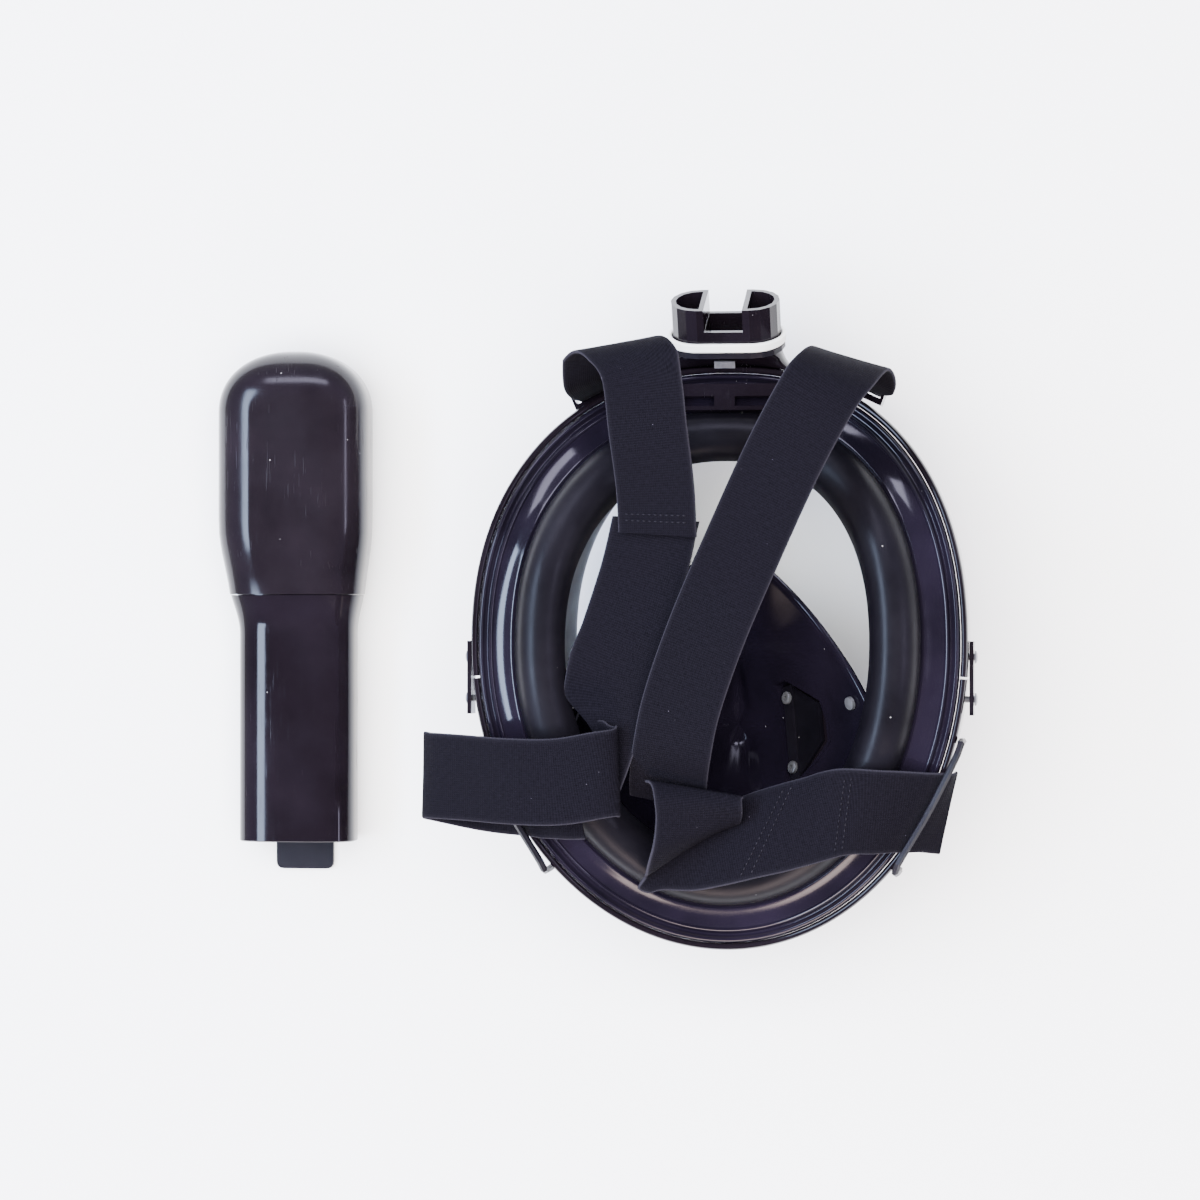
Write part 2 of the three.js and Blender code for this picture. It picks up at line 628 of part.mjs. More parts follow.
// ---- straps ----
// A flat strap through rows of its two edges, smoothed along its length.
function strap(rows, perRow = 4) {
  const left = new THREE.CatmullRomCurve3(rows.map((r) => vec(r[0], r[1], r[2])));
  const right = new THREE.CatmullRomCurve3(rows.map((r) => vec(r[3], r[4], r[5])));
  const count = (rows.length - 1) * perRow;
  const middle = (u) => left.getPoint(u).add(right.getPoint(u)).multiplyScalar(0.5);
  return skin(
    range(count + 1).map((i) => {
      const u = i / count;
      const a = left.getPoint(u);
      const b = right.getPoint(u);
      const ahead = middle(Math.min(1, u + 0.002)).sub(middle(Math.max(0, u - 0.002)));
      const normal = b.clone().sub(a).cross(ahead).setLength(STRAP_THICK / 2);
      return [a.clone().add(normal), b.clone().add(normal), b.clone().sub(normal), a.clone().sub(normal)];
    }),
    { caps: true },
  );
}

// Two rows of a strap that rises straight up outside the rim, through its upper lug.
const LUG_OFFSET = 4.4;

function lugRows(t, heights) {
  const { at, along } = rimPlace(t, LUG_OFFSET);
  const half = (along.x > 0 ? 1 : -1) * (STRAP_WIDTH / 2 - 0.5);
  return heights.map((z) => [
    at.x - along.x * half, at.y - along.y * half, z,
    at.x + along.x * half, at.y + along.y * half, z,
  ]);
}

const UPPER_RIGHT_T = THREE.MathUtils.degToRad(66);
const UPPER_LEFT_T = THREE.MathUtils.degToRad(115.5);
const LUG_LOW_Z = 33;
const LUG_HEIGHT = 10;
const LOWER_LUG_ENDS = [-36, -85]; // Y of its two legs
const LOWER_LUG_LEG = 11; // its legs reach this far below the rim

// Each row: x, y, z of one edge, then of the other edge.
const UPPER_LEFT_LOOP = [
  [-61, 98, 78, -31, 110, 80],
  [-57, 108, 96, -27, 115, 98],
  [-49, 111, 109, -18, 115, 112],
  [-41, 102, 116, -11, 104, 118],
  [-39, 81, 113, -8, 81, 114],
  [-37, 60, 107, -6, 60, 109],
  [-36, 43, 103, -6, 41, 105],
];
const UPPER_RIGHT_LOOP = [
  [38, 110, 80, 68, 96, 78],
  [38, 112, 100, 65, 104, 97],
  [33, 109, 114, 62, 98, 112],
  [26, 99, 119, 55, 88, 118],
  [13, 74, 115, 41, 64, 116],
  [-3, 40, 111, 26, 32, 112],
  [-16, 10, 109, 12, 0, 109],
  [-26, -18, 105.5, 2.5, -26, 105],
  [-30.5, -36, 101, -1.5, -43, 99.5],
  [-33, -49, 90.5, -4.5, -55, 89],
  [-34, -57, 84, -5, -63, 82],
];
const LOWER_LEFT_RUN = [
  [-37, 49, 99.8, -7, 47, 101.6],
  [-44, 27, 100, -9, 31, 102],
  [-50, 8, 98, -16, 10, 102],
  [-56, -7, 96, -23, -9, 100],
  [-57, -17, 94, -28, -27, 98],
  [-52, -26, 94, -34, -46, 98],
  [-44, -30, 96, -39, -61, 98],
  [-37, -31, 102, -36, -64, 102.5],
  [-44, -33, 107, -44, -65, 106],
  [-60, -36, 107, -60, -67, 105],
  [-80, -35, 104, -78, -68, 101],
  [-97, -33, 98, -96, -68, 95],
  [-109, -32, 92, -110, -68, 90],
  [-113, -32, 87, -114, -68, 85],
  [-109, -34, 83, -108, -69, 80],
  [-99, -38, 84.5, -92, -71, 79.5],
  [-89.5, -41, 89.4, -77.5, -72.5, 83.2],
  [-78, -42, 95, -67, -73.5, 90],
  [-66, -42, 99.7, -58, -73.5, 94.5],
  [-56, -42, 99.7, -50, -73, 94.5],
];
const LOWER_RIGHT_RUN = [
  [-27, -51.5, 94, 9, -57.5, 90.5],
  [-25.5, -52, 97, 10.5, -58, 92.5],
  [-23.5, -58, 99.5, 10.5, -61.5, 93],
  [-23, -66, 98.5, 10, -65, 90],
  [-23, -77, 97, 7, -68, 86],
  [-26, -86, 92, 3, -68, 82],
  [-30, -90, 86, 0, -64, 80],
  [-25, -93, 83, 3, -60, 80],
  [-10, -93, 83, 12, -57, 83],
  [17, -86, 89, 32, -52, 92],
  [45, -80, 95, 50, -46, 100],
  [58, -80, 91.5, 67, -45.5, 98],
  [70.5, -80.5, 82.2, 87.5, -46, 89],
  [83, -80, 75, 90.5, -47, 81],
];

function addStraps() {
  const footHeights = [30, 44, 60];
  const leftFoot = lugRows(UPPER_LEFT_T, footHeights);
  const rightFoot = lugRows(UPPER_RIGHT_T, footHeights);
  add("strap_upper_left", strap([...leftFoot, ...UPPER_LEFT_LOOP]), WEBBING);
  add("strap_upper_right", strap([...rightFoot, ...UPPER_RIGHT_LOOP]), WEBBING);
  add("strap_lower_left", strap(LOWER_LEFT_RUN), WEBBING);
  add("strap_lower_right", strap(LOWER_RIGHT_RUN), WEBBING);
}

function addUpperLug(label, t) {
  const { at, along, out } = rimPlace(t, LUG_OFFSET);
  const shape = polygon([[-17.4, -3.8], [17.4, -3.8], [17, 3], [-17, 3]]);
  shape.holes.push(polygon([[-16, -1.4], [-16, 1.4], [16, 1.4], [16, -1.4]], THREE.Path));
  const sideways = vec(-along.x, -along.y, 0);
  const matrix = new THREE.Matrix4().makeBasis(sideways, vec(out.x, out.y, 0), vec(0, 0, 1));
  matrix.setPosition(at.x, at.y, LUG_LOW_Z);
  add(`strap_lug_upper_${label}`, extrude(shape, LUG_HEIGHT, 4), BLACK_GLOSS, matrix);
}

// A lower lug is a bar that bridges the strap, with a leg down the outside of the frame at each end.
function addLowerLug(label, side) {
  const corners = LOWER_LUG_ENDS.map((y) => {
    const t = rimAngleAtY(y);
    const { at, z } = rimPlace(t, LUG_BAR_RADIUS + CLEARANCE + 0.2);
    return { x: side * at.x, y: at.y, z };
  });
  const [top, low] = corners;
  const topBar = top.z + 7.6;
  const lowBar = low.z + 12;
  const points = [
    vec(top.x, top.y, top.z - LOWER_LUG_LEG),
    vec(top.x, top.y, topBar - 3),
    vec(top.x, top.y - 1.5, topBar),
    vec((top.x + low.x) / 2 + side, (top.y + low.y) / 2, (topBar + lowBar) / 2 + 0.5),
    vec(low.x, low.y + 1.5, lowBar),
    vec(low.x, low.y, lowBar - 3),
    vec(low.x, low.y, low.z - LOWER_LUG_LEG),
  ];
  const path = new THREE.CatmullRomCurve3(points);
  const section = new THREE.Shape().absarc(0, 0, LUG_BAR_RADIUS, 0, 2 * Math.PI, false);
  const bar = new THREE.ExtrudeGeometry(section, { steps: 22, extrudePath: path, curveSegments: 3 });
  add(`strap_lug_lower_${label}`, weld(bar), BLACK_SATIN);
}

// ---- detached tube ----
function tubeRow(y, halfWidth, halfDepth, middleZ) {
  return range(TUBE_STEPS).map((i) => {
    const a = (2 * Math.PI * i) / TUBE_STEPS;
    const x = TUBE_X + halfWidth * power(Math.cos(a), 2 / TUBE_POWER);
    return vec(x, y, middleZ + halfDepth * power(Math.sin(a), 2 / TUBE_POWER));
  });
}

function tubePlate(y, thick, halfWidth, halfDepth, middleZ) {
  return skin([y, y + thick].map((end) => tubeRow(end, halfWidth, halfDepth, middleZ)), { caps: true });
}

const COLLAR_Z = 16.4;
const JOINT_HALF_WIDTH = 26.6;
const TONGUE_THICK = 2;
const TONGUE_CORNER = 3; // radius
const TONGUE_LOW_Z = 0.2;

// The window in the tube that the tongue bends in.
function tongueWindow() {
  const length = TONGUE_TOP_Y - TONGUE_END_Y + CLEARANCE;
  const centre = vec(TUBE_X, TONGUE_TOP_Y + CLEARANCE - length / 2, TONGUE_LOW_Z + TONGUE_THICK / 2);
  return box(vec(2 * (TONGUE_HALF_WIDTH + CLEARANCE), length, 2 * TONGUE_THICK), centre);
}

function tongue() {
  const half = TONGUE_HALF_WIDTH;
  const low = TONGUE_END_Y;
  const shape = new THREE.Shape();
  shape.moveTo(-half, TONGUE_TOP_Y);
  shape.lineTo(-half, low + TONGUE_CORNER);
  shape.quadraticCurveTo(-half, low, -half + TONGUE_CORNER, low);
  shape.lineTo(half - TONGUE_CORNER, low);
  shape.quadraticCurveTo(half, low, half, low + TONGUE_CORNER);
  shape.lineTo(half, TONGUE_TOP_Y);
  return extrude(shape, TONGUE_THICK, 4).translate(TUBE_X, 0, TONGUE_LOW_Z);
}

function addTube() {
  const w = TUBE_WALL;
  const rows = [
    tubeRow(TUBE_END_Y, TUBE_HALF_WIDTH, TUBE_HALF_DEPTH, TUBE_HALF_DEPTH),
    tubeRow(6.6, TUBE_HALF_WIDTH, TUBE_HALF_DEPTH, TUBE_HALF_DEPTH),
    tubeRow(12, 24.6, 14.8, 14.8),
    tubeRow(TUBE_JOINT_Y, JOINT_HALF_WIDTH, COLLAR_Z, COLLAR_Z),
    tubeRow(TUBE_JOINT_Y, 24, 14, COLLAR_Z),
    tubeRow(36, 24, 14, COLLAR_Z),
    tubeRow(36, 22, 12, COLLAR_Z),
    tubeRow(18, 22, 12.6, COLLAR_Z),
    tubeRow(4, TUBE_HALF_WIDTH - w, TUBE_HALF_DEPTH - w, TUBE_HALF_DEPTH),
    tubeRow(TUBE_END_Y, TUBE_HALF_WIDTH - w, TUBE_HALF_DEPTH - w, TUBE_HALF_DEPTH),
  ];
  add("tube_body", cut(skin(rows, { loopRows: true }), [tongueWindow()]), BLACK_GLOSS);
  add("latch_tongue", tongue(), BLACK_SATIN);
  for (const [label, side] of SIDES) {
    const divider = box(vec(1.4, 54, 22), vec(TUBE_X + side * DIVIDER_X, -28, TUBE_HALF_DEPTH));
    add(`tube_divider_${label}`, divider, BLACK_SATIN);
  }
}

function capRow(y, inset) {
  const taper = THREE.MathUtils.smoothstep(y, TUBE_JOINT_Y - 6, 48);
  const up = Math.max(0, (y - TUBE_TOP_Y + CAP_DOME) / (CAP_DOME - inset));
  const dome = Math.max(0, 1 - Math.min(1, up) ** 2.2) ** (1 / 2.2);
  const halfWidth = THREE.MathUtils.lerp(JOINT_HALF_WIDTH, CAP_HALF_WIDTH, taper);
  const halfDepth = THREE.MathUtils.lerp(COLLAR_Z, CAP_HALF_DEPTH, taper);
  return tubeRow(y, (halfWidth - inset) * dome, (halfDepth - inset) * dome, halfDepth);
}

function addCap() {
  const low = TUBE_JOINT_Y + CLEARANCE;
  const straight = [low, 27, 34, 42, 50, 70, TUBE_TOP_Y - CAP_DOME];
  const domeShares = [0.3, 0.55, 0.75, 0.88, 0.96, 1];
  const domeFoot = TUBE_TOP_Y - CAP_DOME;
  const ys = (inset) => [...straight, ...domeShares.map((s) => domeFoot + s * (CAP_DOME - inset))];
  const outside = ys(0).map((y) => capRow(y, 0)).reverse();
  const inside = ys(TUBE_WALL).map((y) => capRow(y, TUBE_WALL));
  const slots = [84, 91, 98].map((y) => box(vec(30, 3.4, 10), vec(TUBE_X, y, 1)));
  add("cap_shell", cut(skin([...outside, ...inside]), slots), BLACK_GLOSS);

  const z = CAP_HALF_DEPTH;
  const guideHole = tubePlate(30, 20, 15, 8, z);
  const guide = cut(tubePlate(38.5, 2, 26.4, 15.6, z), [guideHole]);
  const posts = [[1, 1], [1, -1], [-1, 1], [-1, -1]].map(([sx, sz]) => {
    const post = rod(1.5, 34, vec(0, 0, 0), 10).rotateX(-Math.PI / 2);
    return post.translate(TUBE_X + sx * 23.2, 39.5, z + sz * 7);
  });
  add("float_cage", join([guide, ...posts]), BLACK_SATIN);
  const floatSizes = [[42, 14, 8], [43.5, 19, 11], [60, 20, 12], [62, 19, 11]];
  const floatRows = floatSizes.map(([y, halfWidth, halfDepth]) => tubeRow(y, halfWidth, halfDepth, z));
  add("float_body", skin(floatRows, { caps: true }), FLOAT_PLASTIC);
  add("float_seal", tubePlate(62.4, 2.4, 17, 10, z), SILICONE);
  const seatHole = tubePlate(70, 20, 13, 7, z);
  const seatY = 62.4 + 2.4 + FLOAT_TRAVEL + CLEARANCE;
  add("valve_seat", cut(tubePlate(seatY, 2.4, 27.6, 17, z), [seatHole]), BLACK_SATIN);
}

addLens();
addFrame();
addSkirt();
addForeheadVent();
addPocket();
addDrain();
addSocket();
addNeck();
addStraps();
addUpperLug("left", UPPER_LEFT_T);
addUpperLug("right", UPPER_RIGHT_T);
addLowerLug("left", -1);
addLowerLug("right", 1);
addTube();
addCap();

export default model;
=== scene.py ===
"""Full face snorkel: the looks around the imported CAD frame.
Lengths here are millimetres, turned to metres by MM.

+Z points from the lens to the face side, +Y to the crown, +X across the mask. The driving dimensions repeat
those of the CAD model, so that each fine shell lies where its plain CAD solid is."""

import math

import bmesh
import bpy
from mathutils import Matrix, Vector
from mathutils.noise import noise


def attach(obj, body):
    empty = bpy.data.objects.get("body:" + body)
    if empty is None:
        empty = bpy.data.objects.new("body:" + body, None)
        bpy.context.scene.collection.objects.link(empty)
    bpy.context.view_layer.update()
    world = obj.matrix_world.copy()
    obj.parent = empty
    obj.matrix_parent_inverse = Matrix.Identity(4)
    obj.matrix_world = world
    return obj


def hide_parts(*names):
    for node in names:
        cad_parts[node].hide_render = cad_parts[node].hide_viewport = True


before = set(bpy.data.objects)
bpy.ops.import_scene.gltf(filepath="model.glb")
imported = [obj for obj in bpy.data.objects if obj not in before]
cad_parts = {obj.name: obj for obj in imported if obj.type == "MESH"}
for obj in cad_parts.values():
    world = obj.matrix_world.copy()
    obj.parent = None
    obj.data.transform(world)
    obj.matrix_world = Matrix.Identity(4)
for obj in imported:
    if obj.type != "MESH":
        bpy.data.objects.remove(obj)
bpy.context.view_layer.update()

MM = 0.001
RIM_HALF_WIDTH = 95.0
RIM_TOP = 108.0
RIM_CHIN = 118.0
TOP_POWER = 2.25
CHIN_POWER = 2.0
SIDE_HEIGHT = 88.0
FOREHEAD_DROP = 33.0
CHIN_DROP = 26.0
FRAME_SPLIT = math.radians(-6)
LENS_INSET = 3.0
LENS_THICK = 2.2
LENS_FLAT = 0.45
LENS_EDGE_DROP = 1.0
WALL_FOOT_GAP = 2.2
POCKET_Y = -32.0
POCKET_HALF_WIDTH = 58.0
POCKET_TOP = 69.0
POCKET_CHIN = 51.0
POCKET_TOP_POWER = 1.3
POCKET_CHIN_POWER = 1.7
POCKET_FLOOR_Z = 15.0
POCKET_SIDE_Z = 72.0
POCKET_THICK = 2.6
POCKET_FLAT = 0.12
NOSE_TOP_Y = -8.0
NOSE_LOW_Y = -58.0
NOSE_DEPTH = 2.6
SOCKET_TILT = math.radians(26)
SOCKET_TOP = Vector((0, 133.2, 62))
SOCKET_HALF_WIDTH = 21.2
SOCKET_HALF_DEPTH = 11.0
SEAL_FROM_TOP = 17.0
UPPER_STRAP_WIDTH = 30.0
LOWER_STRAP_WIDTH = 33.0
STRAP_THICK = 1.6
WEAVE_HALF_WIDTH = 16.0  # the UV map's U at a strap's edge
LUG_OFFSET = 4.4
TUBE_X = -178.4
TUBE_TOP_Y = 117.3
TUBE_JOINT_Y = 19.2
TUBE_END_Y = -79.8
TUBE_HALF_WIDTH = 23.6
TUBE_HALF_DEPTH = 14.0
TUBE_WALL = 2.0
CAP_HALF_WIDTH = 30.6
CAP_HALF_DEPTH = 20.0
CAP_DOME = 25.0
COLLAR_Z = 16.4
JOINT_HALF_WIDTH = 26.6
PANEL_DROP = 0.8  # the flat front panel of the cap, below its crown

collection = bpy.context.scene.collection


# ---- small helpers ----
def power(value, exponent):
    return math.copysign(abs(value) ** exponent, value)


def smoothstep(x, low, high):
    t = min(1.0, max(0.0, (x - low) / (high - low)))
    return t * t * (3 - 2 * t)


def lerp(a, b, t):
    return a + (b - a) * t


def catmull(points, per_span, closed=False):
    """Points of a smooth line through the given vectors, with per_span steps between each two."""
    count = len(points)
    spans = count if closed else count - 1
    out = []
    for i in range(spans):
        if closed:
            p0, p1, p2, p3 = (points[(i + k) % count] for k in (-1, 0, 1, 2))
        else:
            p0 = points[i - 1] if i else points[0] * 2 - points[1]
            p1, p2 = points[i], points[i + 1]
            p3 = points[i + 2] if i + 2 < count else p2 * 2 - p1
        for k in range(per_span):
            t = k / per_span
            out.append(
                0.5 * (2 * p1 + (p2 - p0) * t + (2 * p0 - 5 * p1 + 4 * p2 - p3) * t * t
                       + (3 * p1 - p0 - 3 * p2 + p3) * t ** 3)
            )
    if not closed:
        out.append(points[-1].copy())
    return out


def make_object(name, bm):
    bmesh.ops.recalc_face_normals(bm, faces=bm.faces)
    mesh = bpy.data.meshes.new(name)
    bm.to_mesh(mesh)
    bm.free()
    mesh.transform(Matrix.Scale(MM, 4))
    obj = bpy.data.objects.new(name, mesh)
    collection.objects.link(obj)
    return obj


def smooth(obj, angle=35):
    """Smooth shading with sharp edges above the angle."""
    mesh = obj.data
    mesh.shade_smooth()
    mesh.set_sharp_from_angle(angle=math.radians(angle))
    return obj


def skin(name, rows, loop_rows=False, caps=False, strip_of=None):
    """A surface over rows of points; each row is a loop. strip_of(i, j) gives a face its material index."""
    bm = bmesh.new()
    width = len(rows[0])
    grid = [[bm.verts.new(p) for p in row] for row in rows]
    count = len(rows) if loop_rows else len(rows) - 1
    for i in range(count):
        a, b = grid[i], grid[(i + 1) % len(rows)]
        for j in range(width):
            k = (j + 1) % width
            face = bm.faces.new((a[j], b[j], b[k], a[k]))
            if strip_of:
                face.material_index = strip_of(i, j)
    if caps:
        bm.faces.new(grid[0])
        bm.faces.new(grid[-1])
    bmesh.ops.remove_doubles(bm, verts=bm.verts, dist=1e-3)
    return smooth(make_object(name, bm))


def apply_modifiers(obj):
    graph = bpy.context.evaluated_depsgraph_get()
    mesh = bpy.data.meshes.new_from_object(obj.evaluated_get(graph))
    obj.modifiers.clear()
    obj.data = mesh
    return obj


def bevel(obj, width, segments=2, angle=30):
    """Rounds an object's sharp edges."""
    mod = obj.modifiers.new("bevel", "BEVEL")
    mod.width = width * MM
    mod.segments = segments
    mod.limit_method = "ANGLE"
    mod.angle_limit = math.radians(angle)
    mod.harden_normals = True
    obj.data.shade_smooth()
    obj.data.set_sharp_from_angle(angle=math.radians(angle))
    return obj


def dress(obj, *materials):
    if obj.data.materials:
        obj.data.materials.clear()
    for material in materials:
        obj.data.materials.append(material)
    return obj


# ---- materials ----
class Nodes:
    """Adds nodes to a new material and joins them."""

    def __init__(self, name):
        self.material = bpy.data.materials.new(name)
        self.material.use_nodes = True
        self.tree = self.material.node_tree
        self.shader = self.tree.nodes["Principled BSDF"]
        self.where = self.tree.nodes.new("ShaderNodeTexCoord").outputs["Object"]

    def add(self, kind, **values):
        node = self.tree.nodes.new(kind)
        for key, value in values.items():
            if hasattr(node, key):
                setattr(node, key, value)
            else:
                self.feed(value, node.inputs[key.replace("_", " ")])
        return node

    def feed(self, value, socket):
        if isinstance(value, bpy.types.NodeSocket):
            self.tree.links.new(value, socket)
        else:
            socket.default_value = value

    def scaled(self, scale, rotation=(0, 0, 0)):
        node = self.add("ShaderNodeMapping", Vector=self.where)
        node.inputs["Scale"].default_value = scale
        node.inputs["Rotation"].default_value = rotation
        return node.outputs["Vector"]

    def noise(self, scale, detail=3.0, rough=0.5, vector=None):
        node = self.add("ShaderNodeTexNoise", Vector=vector or self.where)
        node.inputs["Scale"].default_value = scale
        node.inputs["Detail"].default_value = detail
        node.inputs["Roughness"].default_value = rough
        return node.outputs["Fac"]

    def ramp(self, value, low, high, a=0.0, b=1.0):
        """Maps value from low..high to a..b, clamped."""
        node = self.add("ShaderNodeMapRange", Value=value)
        for key, number in (("From Min", low), ("From Max", high), ("To Min", a), ("To Max", b)):
            node.inputs[key].default_value = number
        return node.outputs["Result"]

    def math(self, operation, a, b=0.0, c=0.0):
        node = self.add("ShaderNodeMath", operation=operation)
        for socket, value in zip(node.inputs, (a, b, c)):
            self.feed(value, socket)
        return node.outputs[0]

    def mix(self, factor, a, b):
        node = self.add("ShaderNodeMix", data_type="RGBA")
        self.feed(factor, node.inputs[0])
        self.feed(a, node.inputs[6])
        self.feed(b, node.inputs[7])
        return node.outputs[2]

    def bump(self, height, strength, distance, under=None):
        node = self.add("ShaderNodeBump", Height=height)
        node.inputs["Strength"].default_value = strength
        node.inputs["Distance"].default_value = distance
        if under is not None:
            self.feed(under, node.inputs["Normal"])
        return node.outputs["Normal"]

    def scratches(self):
        """Fine handling scratches in three directions, 1 on a scratch and 0 off it."""
        total = None
        for turn, scale, seed in ((0.3, 95, 0.0), (-0.6, 120, 3.1), (1.35, 80, 7.7)):
            node = self.add("ShaderNodeMapping", Vector=self.where)
            node.inputs["Location"].default_value = (seed, seed, seed)
            node.inputs["Rotation"].default_value = (0.2, 0.1, turn)
            node.inputs["Scale"].default_value = (1, 0.035, 0.3)
            line = self.ramp(self.noise(scale * 14, 2, 0.5, node.outputs["Vector"]), 0.66, 0.72)
            patch = self.ramp(self.noise(26 + seed, 2, 0.5), 0.5, 0.68)
            here = self.math("MULTIPLY", line, patch)
            total = here if total is None else self.math("MAXIMUM", total, here)
        return total

    def specks(self, scale, share):
        """Small scattered specks of dust: 1 in a speck."""
        cells = self.add("ShaderNodeTexVoronoi", Vector=self.where, feature="F1")
        cells.inputs["Scale"].default_value = scale
        small = self.ramp(cells.outputs["Distance"], 0.05, 0.09, 1.0, 0.0)
        pick = self.add("ShaderNodeSeparateColor", Color=cells.outputs["Color"]).outputs[0]
        return self.math("MULTIPLY", small, self.ramp(pick, 1 - share, 1 - share + 0.01))

    def set(self, **values):
        for key, value in values.items():
            self.feed(value, self.shader.inputs[key.replace("_", " ")])
        return self.material


def moulded(name, colour, light, rough, waves, scratched=1.0, shine=0.24):
    """Polished moulded plastic or silicone: slow waves in the surface, faint cloudiness,
    scratches and dust."""
    n = Nodes(name)
    cloud = n.ramp(n.noise(22, 4, 0.55), 0.35, 0.7)
    scratch = n.scratches()
    speck = n.specks(260, 0.05)
    tone = n.mix(cloud, colour, light)
    tone = n.mix(n.math("MULTIPLY", speck, 0.6), tone, (0.30, 0.29, 0.30, 1))
    worn = n.math("MULTIPLY", scratch, 0.22 * scratched)
    dull = n.math("MULTIPLY", n.ramp(n.noise(60, 5, 0.6), 0.45, 0.75), 0.06)
    base = n.math("ADD", n.ramp(n.noise(9, 2, 0.5), 0.3, 0.7, rough * 0.8, rough * 1.25), dull)
    roughness = n.math("ADD", n.math("ADD", base, worn), n.math("MULTIPLY", speck, 0.3))
    slow = n.bump(n.noise(16, 1.5, 0.4), 0.5, waves * MM)
    fine = n.bump(scratch, 0.25 * scratched, 0.02 * MM, slow)
    return n.set(Base_Color=tone, Roughness=roughness, Normal=fine, Specular_IOR_Level=shine)


def satin(name, colour, light, rough, grain, shine=0.5):
    """Satin moulded surface with a fine grain."""
    n = Nodes(name)
    tone = n.mix(n.ramp(n.noise(30, 4, 0.6), 0.35, 0.7), colour, light)
    speck = n.specks(300, 0.06)
    tone = n.mix(n.math("MULTIPLY", speck, 0.7), tone, (0.35, 0.34, 0.34, 1))
    roughness = n.ramp(n.noise(45, 4, 0.6), 0.3, 0.7, rough - 0.06, rough + 0.07)
    normal = n.bump(n.noise(2600, 2, 0.5), 0.35, grain * MM, n.bump(n.noise(40, 2, 0.5), 0.4, 0.25 * MM))
    return n.set(Base_Color=tone, Roughness=roughness, Normal=normal, Specular_IOR_Level=shine)


def webbing_material(name):
    """Woven elastic. The UV map holds millimetres: U across the strap from its middle, V along it."""
    n = Nodes(name)
    uv = n.add("ShaderNodeUVMap").outputs["UV"]
    split = n.add("ShaderNodeSeparateXYZ", Vector=uv)
    across, along = split.outputs["X"], split.outputs["Y"]
    rib = n.math("SINE", n.math("MULTIPLY", along, 2 * math.pi / 0.95))
    cord = n.math("SINE", n.math("MULTIPLY", across, 2 * math.pi / 0.8))
    weave = n.math("MULTIPLY", n.math("ADD", rib, 1.0), n.math("ADD", n.math("MULTIPLY", cord, 0.55), 1.0))
    shifted = n.add("ShaderNodeMapping", Vector=uv)
    shifted.inputs["Scale"].default_value = (1.0, 0.35, 1.0)
    yarn = n.noise(1.6, 4, 0.65, shifted.outputs["Vector"])
    # Lighter towards both edges of the strap, with a pale line along the very edge.
    from_edge = n.math("SUBTRACT", WEAVE_HALF_WIDTH, n.math("ABSOLUTE", across))
    edge = n.ramp(from_edge, 0.5, 1.9, 1.0, 0.0)
    pale_edge_line = n.ramp(from_edge, 0.1, 0.6, 1.0, 0.0)
    base = n.mix(n.ramp(yarn, 0.3, 0.7), (0.0014, 0.0012, 0.0020, 1), (0.0036, 0.0031, 0.0050, 1))
    base = n.mix(n.ramp(weave, 0.4, 3.0, 0.0, 0.55), base, (0.0056, 0.0050, 0.0078, 1))
    base = n.mix(n.math("MULTIPLY", edge, 0.25), base, (0.010, 0.0092, 0.013, 1))
    base = n.mix(n.math("MULTIPLY", pale_edge_line, 0.6), base, (0.026, 0.024, 0.032, 1))
    lint = n.specks(420, 0.04)
    base = n.mix(n.math("MULTIPLY", lint, 0.5), base, (0.11, 0.10, 0.13, 1))
    height = n.math("ADD", n.math("MULTIPLY", weave, 0.4), n.math("MULTIPLY", yarn, 0.9))
    normal = n.bump(height, 0.7, 0.14 * MM)
    return n.set(Base_Color=base, Roughness=0.95, Normal=normal, Specular_IOR_Level=0.08)


def clear_material(name):
    n = Nodes(name)
    haze = n.noise(14, 3, 0.5)
    wave = n.bump(haze, 0.2, 0.2 * MM)
    tint = n.mix(haze, (0.20, 0.23, 0.26, 1), (0.30, 0.33, 0.36, 1))
    edge = n.add("ShaderNodeLayerWeight")
    edge.inputs["Blend"].default_value = 0.4
    shell = n.ramp(edge.outputs["Facing"], 0.25, 0.95, 0.045, 0.5)
    n.material.surface_render_method = "BLENDED"
    return n.set(Base_Color=tint, Roughness=n.ramp(haze, 0.3, 0.7, 0.02, 0.05), Alpha=shell, Normal=wave,
                 Specular_IOR_Level=0.5)


def steel_material(name):
    n = Nodes(name)
    brushed = n.noise(900, 2, 0.5, n.scaled((1, 0.05, 1)))
    tone = n.mix(brushed, (0.11, 0.11, 0.12, 1), (0.22, 0.22, 0.235, 1))
    return n.set(Base_Color=tone, Metallic=0.7, Roughness=n.ramp(brushed, 0.3, 0.7, 0.3, 0.48),
                 Normal=n.bump(brushed, 0.2, 0.02 * MM))


BLACK = moulded("gloss_plastic_black", (0.0028, 0.0019, 0.0029, 1), (0.0056, 0.0040, 0.0062, 1), 0.09, 0.5)
BLACK_CAP = moulded("gloss_plastic_cap", (0.0028, 0.0020, 0.0030, 1),
                     (0.0074, 0.0054, 0.0076, 1), 0.13, 0.6, 1.6)
SATIN = satin("satin_plastic_black", (0.0034, 0.0029, 0.0046, 1),
              (0.0070, 0.0060, 0.0090, 1), 0.38, 0.02, 0.2)
SILICONE_GLOSS = moulded("silicone_polished", (0.0030, 0.0024, 0.0046, 1),
                        (0.0070, 0.0052, 0.0105, 1), 0.11, 1.6, 0.35, 0.3)
SILICONE_SATIN = satin("silicone_satin", (0.0022, 0.0019, 0.0030, 1),
                       (0.0048, 0.0042, 0.0062, 1), 0.36, 0.03, 0.13)
WHITE = satin("seal_rubber_white", (0.74, 0.74, 0.71, 1), (0.84, 0.84, 0.81, 1), 0.5, 0.03)
